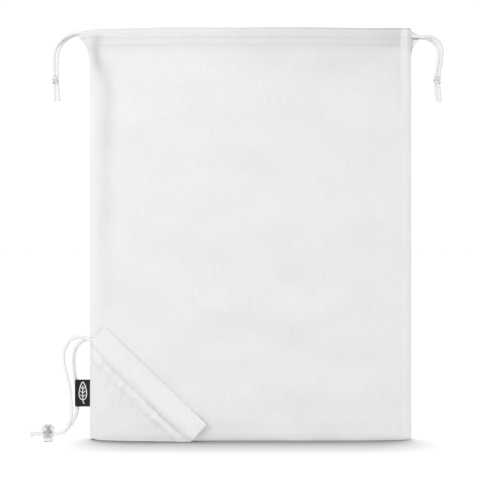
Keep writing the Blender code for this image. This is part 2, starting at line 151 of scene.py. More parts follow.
def waves(x, z, seed, count, short, long, tilt, height):
    """Soft, seeded undulation: short and long bound the wavelength across, tilt its slant."""
    draw = random.Random(seed)
    total = np.zeros_like(x)
    for _ in range(count):
        length = draw.uniform(short, long)
        slant = draw.uniform(-tilt, tilt)
        phase = draw.uniform(0, 2 * math.pi)
        share = draw.uniform(0.5, 1.0)
        total += share * np.sin(2 * math.pi * (x + slant * z) / length + phase)
    return total * height / math.sqrt(count)


def fold(x, z, line, width):
    """A soft fold along a line of (height, place across, size), in metres."""
    heights, places, sizes = zip(*sorted(line))
    away = x - np.interp(z, heights, places)
    return np.interp(z, heights, sizes, 0.0, 0.0) * bell(away, width)


def smooth_route(points, step):
    """A rounded line through the points."""
    points = [Vector(point) for point in points]
    before = points[0] * 2 - points[1]
    after = points[-1] * 2 - points[-2]
    line = [before, *points, after]
    route = []
    for a, b, c, d in zip(line, line[1:], line[2:], line[3:]):
        count = max(1, round((c - b).length / step))
        for i in range(count):
            t = i / count
            straight = 2 * b + (c - a) * t
            bend = (2 * a - 5 * b + 4 * c - d) * t**2
            turn = (3 * b - a - 3 * c + d) * t**3
            route.append(0.5 * (straight + bend + turn))
    return [*route, points[-1]]


def distances(line):
    """How far along the line each of its points is."""
    return np.concatenate([[0.0], np.cumsum(np.linalg.norm(np.diff(line, axis=0), axis=1))])


def even_steps(points, step):
    """The same line with its points evenly spaced."""
    line = np.array([tuple(p) for p in points])
    at = distances(line)
    count = max(2, round(at[-1] / step))
    wanted = np.linspace(0, at[-1], count + 1)
    return np.stack([np.interp(wanted, at, line[:, k]) for k in range(3)], axis=1)


def mirrored(points):
    return [Vector((p[0], -p[1], p[2])) for p in points]


# ---- mesh helpers ----


def add_object(name, data):
    obj = bpy.data.objects.new(name, data)
    bpy.context.scene.collection.objects.link(obj)
    return obj


def add_mesh(name, verts, faces, material, uvs=None):
    mesh = bpy.data.meshes.new(name)
    mesh.from_pydata([tuple(v) for v in verts], [], faces)
    if uvs is not None:
        layer = mesh.uv_layers.new(name="UVMap")
        index = np.zeros(len(mesh.loops), np.int32)
        mesh.loops.foreach_get("vertex_index", index)
        layer.data.foreach_set("uv", np.asarray(uvs, np.float32)[index].ravel())
    mesh.shade_smooth()
    mesh.update()
    mesh.materials.append(material)
    return add_object(name, mesh)


def grid_faces(rows, columns, closed=False, flip=False):
    faces = []
    for r in range(rows - 1):
        for c in range(columns if closed else columns - 1):
            d = (c + 1) % columns
            face = (r * columns + c, r * columns + d, (r + 1) * columns + d, (r + 1) * columns + c)
            faces.append(face[::-1] if flip else face)
    return faces


def add_grid(name, points, material, uvs, flip=False):
    """A sheet through points[row][column]."""
    rows, columns = points.shape[:2]
    faces = grid_faces(rows, columns, flip=flip)
    return add_mesh(name, points.reshape(-1, 3), faces, material, uvs.reshape(-1, 2))


def spread(across, along, shape):
    """UV pairs for a grid, from distances across its columns and along its rows."""
    return np.stack([np.broadcast_to(across, shape), np.broadcast_to(along, shape)], axis=2)


def seat(piece, body, slot, *nodes):
    """The body a piece moves with, and the solids it stands for, which are hidden; its kind is not used."""
    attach(piece, body)
    if nodes:
        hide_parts(*nodes)


def thicken(obj, thickness):
    shell = obj.modifiers.new("cloth", "SOLIDIFY")
    shell.thickness = thickness
    shell.offset = 0.0


def along_frames(line):
    """Two directions across a line at each of its points, without twist."""
    tangent = unit_rows(np.gradient(line, axis=0))
    start = np.array([0.0, 1.0, 0.0])
    if abs(tangent[0] @ start) > 0.9:
        start = np.array([1.0, 0.0, 0.0])
    first = []
    current = start
    for t in tangent:
        current = current - (current @ t) * t
        current = current / np.linalg.norm(current)
        first.append(current)
    first = np.array(first)
    return first, np.cross(tangent, first)


def tube(name, line, radii, material, sides=20, relief=None):
    """A closed tube round a line; relief(angle, distance) scales its radius."""
    line = np.asarray(line, float)
    first, second = along_frames(line)
    at = distances(line)
    shape = (len(line), sides)
    radii = np.broadcast_to(np.asarray(radii, float), (len(line),)).copy()
    angle = 2 * math.pi * np.arange(sides) / sides
    scale = np.ones(shape) if relief is None else relief(angle[None, :], at[:, None])
    fade = np.minimum(1.0, np.minimum(at, at[-1] - at) / (radii.mean() * 0.35))
    radii *= 0.62 + 0.38 * np.sqrt(np.clip(1 - (1 - fade) ** 2, 0, 1))  # the ends are rounded off
    way = np.cos(angle)[None, :, None] * first[:, None, :] + np.sin(angle)[None, :, None] * second[:, None, :]
    verts = (line[:, None, :] + radii[:, None, None] * scale[:, :, None] * way).reshape(-1, 3)
    verts = np.concatenate([verts, [line[0], line[-1]]])
    uvs = spread(angle[None, :] / (2 * math.pi), at[:, None] / BRAID_UV, shape).reshape(-1, 2)
    uvs = np.concatenate([uvs, [[0.5, 0.0], [0.5, at[-1] / BRAID_UV]]])
    faces = grid_faces(len(line), sides, closed=True)
    low, high = len(verts) - 2, len(verts) - 1
    base = (len(line) - 1) * sides
    for c in range(sides):
        d = (c + 1) % sides
        faces += [(low, d, c), (high, base + c, base + d)]
    return add_mesh(name, verts, faces, material, uvs)


def braid(angle, at):
    """Crossing strands of a round braid: eight each way, over one and under one."""
    turn = 4 * angle
    slide = math.pi * at / BRAID_PITCH
    one = turn + slide
    two = turn - slide
    over = np.tanh(3 * np.sin(one) * np.sin(two))
    upper = np.abs(np.cos(one)) * (0.80 + 0.20 * over)
    lower = np.abs(np.cos(two)) * (0.80 - 0.20 * over)
    return 0.93 + 0.085 * np.maximum(upper, lower)


def join(name, objects):
    """One object from several."""
    for obj in bpy.context.selected_objects:
        obj.select_set(False)
    for obj in objects:
        obj.select_set(True)
    bpy.context.view_layer.objects.active = objects[0]
    bpy.ops.object.join()
    objects[0].name = name
    objects[0].data.name = name
    return objects[0]


# ---- materials ----


class Look:
    """The node tree of a material or world, with short ways to add to it."""

    def __init__(self, owner):
        owner.use_nodes = True
        self.owner = owner
        self.nodes = owner.node_tree.nodes
        self.shader = self.nodes.get("Principled BSDF") or self.nodes["Background"]

    def put(self, node, inputs):
        """Each input takes a plain value or another node's output."""
        for name, value in inputs.items():
            if isinstance(value, bpy.types.NodeSocket):
                self.owner.node_tree.links.new(value, node.inputs[name])
            else:
                node.inputs[name].default_value = value

    def add(self, kind, inputs=None, **settings):
        node = self.nodes.new("ShaderNode" + kind)
        for name, value in settings.items():
            setattr(node, name, value)
        self.put(node, inputs or {})
        return node

    def maths(self, kind, a, b=0.0):
        return self.add("Math", {0: a, 1: b}, operation=kind).outputs[0]

    def plus(self, a, b):
        return self.maths("ADD", a, b)

    def times(self, a, b):
        return self.maths("MULTIPLY", a, b)

    def uv(self):
        return self.add("UVMap", uv_map="UVMap").outputs["UV"]

    def place(self, kind="Object"):
        return self.add("TexCoord").outputs[kind]

    def split(self, vector):
        return self.add("SeparateXYZ", {"Vector": vector}).outputs

    def noise(self, vector, scale, detail, roughness=0.5):
        """Noise of about one unit's grain, after the vector is scaled."""
        scaled = self.add("Mapping", {"Vector": vector, "Scale": scale}).outputs["Vector"]
        inputs = {"Vector": scaled, "Scale": 1.0, "Detail": detail, "Roughness": roughness}
        return self.add("TexNoise", inputs).outputs["Fac"]

    def wave(self, vector, direction, period):
        """Bands one period of the vector apart."""
        inputs = {"Vector": vector, "Scale": 2 * math.pi / (20 * period), "Distortion": 0.0}
        return self.add("TexWave", inputs, wave_type="BANDS", bands_direction=direction).outputs["Fac"]

    def ramp(self, factor, *stops):
        """Colours at their places along the factor; a single number is a grey."""
        node = self.add("ValToRGB", {"Fac": factor})
        elements = node.color_ramp.elements
        while len(elements) < len(stops):
            elements.new(0.5)
        for element, (at, colour) in zip(elements, stops):
            element.position = at
            element.color = (*((colour,) * 3 if isinstance(colour, float) else colour), 1.0)
        return node.outputs["Color"]

    def bump(self, height, strength, distance, under=None):
        inputs = {"Strength": strength, "Distance": distance, "Height": height}
        if under is not None:
            inputs["Normal"] = under
        return self.add("Bump", inputs).outputs["Normal"]

    def mix(self, share, first, second):
        """A mix of two shader nodes, shown as the surface."""
        node = self.add("MixShader", {0: share, 1: first.outputs[0], 2: second.outputs[0]})
        output = self.nodes.get("Material Output") or self.nodes["World Output"]
        self.put(output, {"Surface": node.outputs[0]})
        return node


def new_look(name):
    return Look(bpy.data.materials.new(name))


def cloth_material(name, light, dark, translucency):
    """Thin plain-woven polyester; its UV map is in metres of flat cloth."""
    look = new_look(name)
    uv = look.uv()
    weave = look.maths("MAXIMUM", *(look.wave(uv, way, WEAVE_PITCH) for way in "XY"))
    upright = look.noise(uv, (330.0, 42.0, 1.0), 4, 0.65)
    level = look.noise(uv, (42.0, 330.0, 1.0), 3, 0.6)
    broad = look.noise(uv, (14.0, 9.0, 1.0), 3)
    slubs = look.plus(look.times(upright, 0.62), look.times(level, 0.18))
    grain = look.plus(slubs, look.times(broad, 0.30))
    # the colour is scaled by the painted shade and light stored on the cloth's points, with the seam
    # allowance's paler strip
    seam_layers_and_painted_shade = look.add("Attribute", attribute_name="seam_layers_and_painted_shade").outputs["Fac"]
    shade = {0: look.ramp(grain, (0.32, dark), (0.74, light)), "Scale": look.plus(seam_layers_and_painted_shade, 1.0)}
    colour = look.add("VectorMath", shade, operation="SCALE").outputs["Vector"]
    normal = look.bump(slubs, 0.5, 0.00030, look.bump(weave, 0.35, 0.00010))
    finish = {"Specular IOR Level": 0.25, "Sheen Weight": 0.15, "Sheen Roughness": 0.5}
    finish["Roughness"] = look.plus(look.times(weave, 0.10), 0.74)
    look.put(look.shader, {"Base Color": colour, "Normal": normal, **finish})
    through = look.add("BsdfTranslucent", {"Color": colour, "Normal": normal})
    look.mix(translucency, look.shader, through)
    return look.owner


def cord_material(name):
    """Soft white braided polyester: fine yarns lie along each strand, and light passes through."""
    look = new_look(name)
    uv = look.uv()
    yarn = look.noise(uv, (60.0, 60.0, 1.0), 3, 0.7)
    soft = look.noise(uv, (3.0, 2.0, 1.0), 2)
    tone = look.plus(look.times(yarn, 0.6), look.times(soft, 0.4))
    across = look.split(uv)
    around = look.times(across["X"], 8 * math.pi)
    slide = look.times(across["Y"], BRAID_UV * math.pi / BRAID_PITCH)
    ways = [look.maths(kind, around, slide) for kind in ("ADD", "SUBTRACT")]
    strand = look.maths("MAXIMUM", *(look.maths("ABSOLUTE", look.maths("COSINE", way)) for way in ways))
    # the colour is darker in the gaps between the braid's strands, which is painted shade, mixed with the
    # yarns' random tone
    yarn_tone_and_gap_shade = look.plus(look.times(tone, 0.30), look.times(strand, 0.70))
    colour = look.ramp(yarn_tone_and_gap_shade, (0.50, (0.83, 0.83, 0.833)), (0.80, (0.89, 0.89, 0.892)))
    finish = {"Specular IOR Level": 0.3, "Sheen Weight": 0.25, "Normal": look.bump(yarn, 0.5, 0.00012)}
    finish["Roughness"] = look.plus(look.times(yarn, 0.2), 0.6)
    inside = {"Subsurface Weight": 0.45, "Subsurface Radius": (1.0, 1.0, 1.0), "Subsurface Scale": 0.004}
    look.put(look.shader, {"Base Color": colour, **finish, **inside})
    return look.owner


def thread_material(name, colour, rough):
    look = new_look(name)
    twist = look.noise(look.place(), (2600.0, 2600.0, 2600.0), 2)
    shades = look.ramp(twist, (0.35, tuple(0.86 * c for c in colour)), (0.65, colour))
    normal = look.bump(twist, 0.4, 0.00005)
    look.put(look.shader, {"Base Color": shades, "Roughness": rough, "Normal": normal})
    return look.owner


def label_material(name):
    """Black damask: fine ribs across the strip."""
    look = new_look(name)
    uv = look.uv()
    ribs, warp = look.wave(uv, "Y", 0.00036), look.wave(uv, "X", 0.00022)
    tone = look.times(ribs, look.noise(uv, (2200.0, 2200.0, 1.0), 3))
    colour = look.ramp(tone, (0.05, (0.0035, 0.0035, 0.004)), (0.75, (0.016, 0.016, 0.017)))
    normal = look.bump(look.times(ribs, look.plus(look.times(warp, 0.3), 0.7)), 0.6, 0.00008)
    finish = {"Roughness": 0.62, "Specular IOR Level": 0.35, "Normal": normal}
    look.put(look.shader, {"Base Color": colour, **finish})
    return look.owner


def plastic_material(name, rough, clear=1.0):
    """Clear moulded plastic, a little uneven from the mould; it lets light in to what it holds."""
    look = new_look(name)
    flow = look.noise(look.place(), (210.0, 210.0, 420.0), 2)
    dark, light = (tuple(clear * c for c in tone) for tone in ((0.86, 0.87, 0.88), (0.94, 0.945, 0.95)))
    finish = {"IOR": 1.47, "Transmission Weight": 1.0, "Normal": look.bump(flow, 0.25, 0.0004)}
    finish["Roughness"] = look.plus(look.times(flow, 0.04), rough)
    look.put(look.shader, {"Base Color": look.ramp(flow, (0.3, dark), (0.7, light)), **finish})
    lit_through = look.add("BsdfTransparent", {"Color": (0.90, 0.90, 0.90, 1.0)})
    look.mix(look.add("LightPath").outputs["Is Shadow Ray"], look.shader, lit_through)
    return look.owner


def steel_material(name):
    look = new_look(name)
    drawn = look.noise(look.place(), (900.0, 900.0, 4000.0), 3)
    colour = look.ramp(drawn, (0.3, (0.34, 0.34, 0.345)), (0.7, (0.56, 0.56, 0.57)))
    rough = look.plus(look.times(drawn, 0.2), 0.25)
    look.put(look.shader, {"Base Color": colour, "Roughness": rough, "Metallic": 1.0})
    return look.owner


CLOTH_WHITE = cloth_material("white_polyester_weave", (0.86, 0.86, 0.866), (0.80, 0.80, 0.806), 0.12)
CORD_WHITE = cord_material("white_braided_cord")
THREAD = thread_material("white_sewing_thread", (0.88, 0.88, 0.88), 0.5)
LABEL_BLACK = label_material("black_damask")
LABEL_WHITE = thread_material("white_label_thread", (0.95, 0.95, 0.94), 0.55)
CLEAR = plastic_material("clear_moulded_plastic", 0.02)
FROSTED = plastic_material("frosted_moulded_plastic", 0.16, 0.86)
STEEL = steel_material("spring_steel_wire")

# ---- camera ----

CAMERA_DISTANCE = 2.0
VIEW_WIDTH = 0.732  # metres across the view at the bag
VIEW_X = -0.01525
VIEW_Z = 0.3035
SENSOR_WIDTH = 36.0

camera = add_object("camera", bpy.data.cameras.new("camera"))
camera.location = (VIEW_X, -CAMERA_DISTANCE, VIEW_Z)
camera.rotation_euler = (math.pi / 2, 0, 0)
camera.data.sensor_width = SENSOR_WIDTH
camera.data.lens = SENSOR_WIDTH * CAMERA_DISTANCE / VIEW_WIDTH
camera.data.clip_start = 0.05
camera.data.clip_end = 100.0
bpy.context.scene.camera = camera

# ---- cords ----

LEFT_FRONT = [
    (-0.2580, -0.0065, 0.6182), (-0.2660, -0.0062, 0.6180), (-0.2735, -0.0050, 0.6165),
    (-0.2812, -0.0036, 0.6130), (-0.2885, -0.0022, 0.6072), (-0.2948, -0.0010, 0.5990),
    (-0.2986, -0.0003, 0.5885), (-0.2997, 0.0, 0.5770), (-0.2996, 0.0, 0.5660), (-0.2990, 0.0, 0.5525),
]
LEFT_BACK = [
    (-0.2580, 0.0065, 0.6182), (-0.2655, 0.0064, 0.6176), (-0.2722, 0.0058, 0.6153),
    (-0.2790, 0.0044, 0.6110), (-0.2855, 0.0026, 0.6045), (-0.2905, 0.0010, 0.5965),
    (-0.2934, 0.0002, 0.5870), (-0.2945, 0.0, 0.5765), (-0.2945, 0.0, 0.5655), (-0.2939, 0.0, 0.5525),
]
RIGHT_EXIT = 0.2440  # the front hem ends here at the right, so the strands show from here
RIGHT_FRONT = [
    (RIGHT_EXIT, -0.0065, 0.6128), (0.2510, -0.0065, 0.6128), (0.2580, -0.0065, 0.6128),
    (0.2660, -0.0063, 0.6130), (0.2745, -0.0052, 0.6126), (0.2825, -0.0038, 0.6098),
    (0.2888, -0.0024, 0.6035), (0.2922, -0.0012, 0.5948), (0.2926, -0.0004, 0.5845),
    (0.2912, 0.0, 0.5735), (0.2892, 0.0, 0.5620), (0.2880, 0.0, 0.5520),
]
RIGHT_BACK = [
    (RIGHT_EXIT, 0.0065, 0.6128), (0.2510, 0.0065, 0.6128), (0.2580, 0.0065, 0.6128),
    (0.2655, 0.0064, 0.6124), (0.2728, 0.0058, 0.6104), (0.2793, 0.0044, 0.6060),
    (0.2842, 0.0026, 0.5995), (0.2870, 0.0010, 0.5915), (0.2874, 0.0002, 0.5825),
    (0.2861, 0.0, 0.5725), (0.2841, 0.0, 0.5615), (0.2829, 0.0, 0.5520),
]
LEFT_TAIL_FRONT = [
    (-0.2996, -0.0003, 0.5409), (-0.2990, -0.0008, 0.5330), (-0.2982, -0.0008, 0.5240),
    (-0.2978, -0.0004, 0.5142),
]
LEFT_TAIL_BACK = [
    (-0.2945, 0.0003, 0.5409), (-0.2932, 0.0008, 0.5330), (-0.2922, 0.0008, 0.5240),
    (-0.2917, 0.0004, 0.5160),
]
RIGHT_TAIL_FRONT = [
    (0.2876, -0.0003, 0.5407), (0.2882, -0.0006, 0.5330), (0.2892, -0.0006, 0.5240),
    (0.2900, -0.0003, 0.5132),
]
RIGHT_TAIL_BACK = [
    (0.2824, 0.0003, 0.5407), (0.2827, 0.0006, 0.5330), (0.2836, 0.0006, 0.5240),
    (0.2846, 0.0003, 0.5150),
]
POUCH_OUTER = [
    (-0.2470, -0.0138, 0.1540), (-0.2545, -0.0150, 0.1568), (-0.2630, -0.0152, 0.1564),
    (-0.2715, -0.0146, 0.1526), (-0.2785, -0.0143, 0.1440), (-0.2822, -0.0142, 0.1320),
    (-0.2824, -0.0145, 0.1190), (-0.2800, -0.0152, 0.1065), (-0.2762, -0.0165, 0.0940),
    (-0.2730, -0.0185, 0.0805), (-0.2708, -0.0212, 0.0660), (-0.2694, -0.0242, 0.0520),
    (-0.2694, -0.0268, 0.0400), (-0.2716, -0.0286, 0.0295), (-0.2758, -0.0294, 0.0212),
    (-0.2820, -0.0296, 0.0148), (-0.2893, -0.0296, 0.0123), (-0.2965, -0.0296, 0.0122),
    (-0.3040, -0.0296, 0.0122), (-0.3140, -0.0296, 0.0122), (-0.3220, -0.0297, 0.0123),
    (-0.3310, -0.0300, 0.0142),
]
POUCH_INNER = [
    (-0.2472, 0.0134, 0.1512), (-0.2550, 0.0138, 0.1494), (-0.2622, 0.0128, 0.1446),
    (-0.2672, 0.0114, 0.1372), (-0.2696, 0.0104, 0.1265), (-0.2702, 0.0098, 0.1150),
    (-0.2694, 0.0095, 0.1035), (-0.2674, 0.0093, 0.0920), (-0.2656, 0.0091, 0.0805),
    (-0.2645, 0.0088, 0.0695), (-0.2638, 0.0092, 0.0590), (-0.2638, 0.0084, 0.0495),
    (-0.2648, 0.0036, 0.0400), (-0.2672, -0.0052, 0.0322), (-0.2710, -0.0132, 0.0250),
    (-0.2764, -0.0192, 0.0184), (-0.2826, -0.0232, 0.0138), (-0.2893, -0.0244, 0.0123),
    (-0.2965, -0.0244, 0.0122), (-0.3040, -0.0244, 0.0122), (-0.3140, -0.0244, 0.0122),
    (-0.3220, -0.0243, 0.0121), (-0.3310, -0.0240, 0.0096),
]
RING_STEP = 0.00042
CORD_SHOWN = 0.0052  # the braid with its loose surface yarns
POUCH_CORD_SHOWN = 0.0058
LEFT_TURN = 0.2550  # where a drawcord's hidden loop turns from the front hem to the back one,
RIGHT_TURN = 0.2395  # kept behind the shorter front hem at the right
TURN_REACH = 0.0030


def add_strand(name, route, body, *nodes, radii=CORD_SHOWN / 2):
    line = even_steps(smooth_route(route, 0.001), RING_STEP)
    if callable(radii):
        radii = radii(line)
    piece = tube(name, line, radii, CORD_WHITE, sides=32, relief=braid)
    seat(piece, body, "cord", *nodes)
    return piece, line


def add_knot(name, middle, size, side, body, node):
    """Both strands of a drawcord tied together: two wraps and a crossing round the pair."""
    pieces = []
    half = Vector(size) / 2
    middle = Vector(middle)
    thick = 0.0021

    def lay(tag, line, radius):
        line = even_steps(line, RING_STEP)
        pieces.append(tube(name + tag, line, radius, CORD_WHITE, sides=24, relief=braid))

    def wrap(tag, tilt, height, across, start):
        line = []
        for i in range(61):
            a = math.radians(start + 350 * i / 60)
            x = across * math.cos(a)
            z = height + x * math.tan(math.radians(tilt)) + 0.0012 * math.sin(2 * a + side)
            line.append(middle + Vector((x, deep * math.sin(a), z)))
        lay(tag, line, thick)

    across = half.x - thick
    deep = half.y - thick * 0.9
    wrap("_a", 24 * side, 0.0016, across, 20)
    wrap("_b", -16 * side, -0.0021, across * 0.96, 190)
    cross = [
        (-0.0026 * side, 0.0004, half.z - 0.0004), (-0.0030 * side, -deep * 0.8, 0.0026),
        (0.0002 * side, -deep * 1.08, 0.0), (0.0030 * side, -deep * 0.8, -0.0026),
        (0.0024 * side, 0.0004, -half.z + 0.0004),
    ]
    lay("_c", smooth_route([middle + Vector(place) for place in cross], 0.0004), thick)
    for sign in (-1, 1):
        core = [middle + Vector((0.0024 * sign, 0, h * 0.0009)) for h in range(-6, 7)]
        lay(f"_d{sign + 1}", core, 0.0024)
    knot = join(name, pieces)
    seat(knot, body, "cord", node)
    return knot


def add_hidden(name, route, body, *nodes):
    line = even_steps(route, 0.002)
    piece = tube(name, line, CORD / 2 * 0.98, CORD_WHITE, sides=16, relief=braid)
    seat(piece, body, "cord", *nodes)


def lane(side, front, height):
    """The stretch of a strand between the loop in the hem and the cord's exit."""
    y = front * MOUTH_END_HALF
    end = EAR_TIP if side < 0 else RIGHT_EXIT + 0.0005
    return [(side * (LANE_END + 0.005), y, height), (side * 0.228, y, height), (side * end, y, height)]


def drawcord_loop(side, height):
    """Round the mouth from one ear, turning at the other; side is the ear where it turns."""
    stations = [LANE_END, 0.160, 0.147, 0.135, 0.110, 0.0]
    front = [Vector((-side * x, -mouth_half(x), height)) for x in stations]
    front += [Vector((side * x, -mouth_half(x), height)) for x in reversed(stations[:-1])]
    end = RIGHT_TURN if side > 0 else LEFT_TURN
    front.append(Vector((side * end, -MOUTH_END_HALF, height)))
    turn = []
    for i in range(1, 16):
        angle = math.pi * (i / 16 - 0.5)
        reach = side * (end + TURN_REACH * math.cos(angle))
        turn.append(Vector((reach, MOUTH_END_HALF * math.sin(angle), height)))
    return front + turn + mirrored(reversed(front))


add_hidden("left_cord_loop_in_hem", drawcord_loop(1, CORD_HIGH), "bag", "drawcord_left_loop")
add_hidden("right_cord_loop_in_hem", drawcord_loop(-1, CORD_LOW), "bag", "drawcord_right_loop")

TIES = {
    "left": (-1, CORD_HIGH, (LEFT_FRONT, LEFT_BACK), (LEFT_TAIL_FRONT, LEFT_TAIL_BACK)),
    "right": (1, CORD_LOW, (RIGHT_FRONT, RIGHT_BACK), (RIGHT_TAIL_FRONT, RIGHT_TAIL_BACK)),
}
KNOTS = {
    "left": ((-0.2967, 0, 0.5467), (0.0108, 0.0086, 0.0109)),
    "right": ((0.2853, 0, 0.5464), (0.0118, 0.0086, 0.0106)),
}
for tie, (side, height, strands, tails) in TIES.items():
    body = f"{tie}_drawcord"
    knot = add_knot(f"{tie}_cord_knot", *KNOTS[tie], side, body, f"drawcord_{tie}_knot")
    for which, front, route, tail_route in zip(("front", "back"), (-1, 1), strands, tails):
        node = f"drawcord_{tie}_{which}"
        strand, line = add_strand(f"{tie}_cord_{which}", route, body, node)
        add_hidden(f"{tie}_cord_{which}_in_hem", lane(side, front, height), body)
        tail, _ = add_strand(f"{tie}_cord_{which}_tail", tail_route, body, f"{tie}_tail_{which}")


def band_direction():
    """The stitch line's two ends, the way along it and the way across the band."""
    side = Vector((-POUCH_HALF_WIDTH, 0, POUCH_SIDE_HEIGHT))
    base = Vector((-POUCH_HALF_WIDTH + POUCH_BASE_WIDTH, 0, POUCH_FOOT))
    along = (base - side).normalized()
    return side, base, along, Vector((-along.z, 0, along.x))


def band_point(s, t, lift=0.0):
    """A point on the pouch's band: s along it, t metres across it, lift off its surface."""
    side, base, along, across = band_direction()
    point = side + (base - side) * s + across * t
    depth = float(pouch_depth(point.x, point.z, POUCH_HALF_WIDTH + POUCH_FLARE))
    point.y = -depth - lift
    return point


def pouch_cord_radii(line):
    """Full where it hangs free, squeezed flatter in the stopper and the band."""
    free = smooth(-line[:, 0], 0.2385, 0.2480) * smooth(line[:, 2], 0.0125, 0.0300)
    return CORD / 2 + (POUCH_CORD_SHOWN - CORD) / 2 * free


band_end = [band_point(s, BAND_CORD) for s in (0.060, 0.030, 0.010)]
run = [band_point(s, BAND_CORD) for s in np.linspace(0.062, 0.985, 60)]
add_hidden("pouch_cord_in_front_band", run, "bag", "pouch_cord_front_run")
add_hidden("pouch_cord_in_back_band", mirrored(run), "bag", "pouch_cord_back_run")
for which, flip, route in (("outer", False, POUCH_OUTER), ("inner", True, POUCH_INNER)):
    start = mirrored(band_end) if flip else band_end
    name, node = f"pouch_cord_{which}_strand", f"pouch_cord_{which}"
    strand, line = add_strand(name, [*start, *route], "bag", node, radii=pouch_cord_radii)

# ---- the bag's cloth ----

COLUMNS = 201
BODY_ROW = 100  # a row of the plain panel, to lay the cloth's weave by
# outside and inside of the hem: height, and how far the cloth stands from the hem's middle
HEM_OUTSIDE = [
    (0.6262, 0.0003), (0.6259, 0.0010), (0.6250, 0.0019), (0.6236, 0.0026), (0.6218, 0.0030),
    (0.6198, 0.0032), (0.6178, 0.0032), (0.6158, 0.0031), (0.6140, 0.0030), (0.6124, 0.0028),
    (0.6112, 0.0026), (0.6103, 0.0023), (0.6096, 0.0021), (0.6088, 0.0021), (0.6076, 0.0021),
    (0.6060, 0.0020), (0.6042, 0.0019), (0.6024, 0.0017), (0.6008, 0.0015), (0.5997, 0.0012),
    (0.5988, 0.0010), (0.5980, 0.0009), (0.5970, 0.0008), (0.5958, 0.0007),
]
HEM_INSIDE = [
    (0.5865, 0.0006), (0.5868, 0.0011), (0.5885, 0.0012), (0.5910, 0.0009), (0.5940, 0.0005),
    (0.5970, 0.0002), (0.5988, 0.0001), (0.6005, 0.0003), (0.6035, 0.0007), (0.6070, 0.0006),
    (0.6090, 0.0003), (0.6096, 0.0002), (0.6101, 0.0006), (0.6108, 0.0016), (0.6120, 0.0026),
    (0.6140, 0.0030), (0.6165, 0.0031), (0.6190, 0.0031), (0.6214, 0.0028), (0.6234, 0.0023),
    (0.6250, 0.0015), (0.6258, 0.0007),
]
# half the cloth's width at each height: it widens into the ears above the side seams
LEFT_SIDE = [
    (0.5400, 0.2436), (0.5600, 0.2446), (0.5780, 0.2454), (0.5936, 0.2470), (0.5995, 0.2506),
    (0.6050, 0.2547), (0.6100, 0.2584), (0.6200, 0.2590), (0.6235, 0.2574), (0.6256, 0.2548),
]
RIGHT_SIDE = [
    (0.5700, 0.2454), (0.5860, 0.2458), (0.5960, 0.2482), (0.6035, 0.2535), (0.6085, 0.2572),
    (0.6110, 0.2590), (0.6150, 0.2602), (0.6170, 0.2594), (0.6190, 0.2572), (0.6208, 0.2543),
    (0.6232, 0.2498), (0.6256, 0.2446),
]


def side_reaches(z, front):
    """Half the cloth's width on the left and on the right; the front hem ends at the right seam."""
    left = np.interp(z, *zip(*LEFT_SIDE))
    right = np.interp(z, *zip(*RIGHT_SIDE))
    if front < 0:
        right = 0.2455 - 0.0026 * smooth(z, 0.6215, 0.6260)
    return left, right


def crumple(x, z, seed, count, short, long, height):
    """Soft creasing in every direction."""
    draw = random.Random(seed)
    total = np.zeros_like(x)
    for _ in range(count):
        length = draw.uniform(short, long)
        angle = draw.uniform(0, math.pi)
        phase = draw.uniform(0, 2 * math.pi)
        drift = 0.35 * np.sin(2 * math.pi * (x * 1.7 - z) / (length * 2.3) + phase * 2)
        wave = 2 * math.pi * (x * math.cos(angle) + z * math.sin(angle)) / length
        total += np.sin(wave + phase + drift) * length / long
    return total * height / math.sqrt(count)


# the left ear's fold: height, place across, size; it shapes the front cloth and is also painted shade
EAR_FOLD = [
    (0.5300, -0.2190, 0.0), (0.5550, -0.2270, 0.30), (0.5640, -0.2304, 1.00), (0.5766, -0.2326, 1.40),
    (0.5880, -0.2344, 1.35), (0.5936, -0.2349, 1.10), (0.6010, -0.2340, 1.00), (0.6050, -0.2330, 1.15),
    (0.6130, -0.2314, 0.90), (0.6175, -0.2308, 0.0),
]
# a band of painted shade beside the left seam: height, place across, darkness
PAINTED_SIDE_SHADE = [
    (0.150, -0.2190, 0.0), (0.190, -0.2190, 0.10), (0.240, -0.2190, 0.45), (0.400, -0.2190, 0.60),
    (0.480, -0.2165, 0.95), (0.530, -0.2155, 1.0), (0.560, -0.2200, 0.80), (0.590, -0.2230, 0.0),
]


# folds of the back at each side: height, distance from the middle, size
BACK_RIDGE = [(0.380, 0.170, 0.0), (0.480, 0.198, 0.0012), (0.560, 0.222, 0.0022), (0.600, 0.236, 0.0)]
BACK_HOLLOW = [(0.400, 0.150, 0.0), (0.500, 0.182, 0.0012), (0.565, 0.208, 0.0020), (0.598, 0.224, 0.0)]


def allowance_lift(x, z, side):
    """A side seam's allowance holds the cloth out in a flat strip."""
    strip = between(side * x, 0.2267, 0.2283, 0.2415, 0.2438)
    return 0.0005 * strip * (1 - smooth(z, 0.575, 0.598))


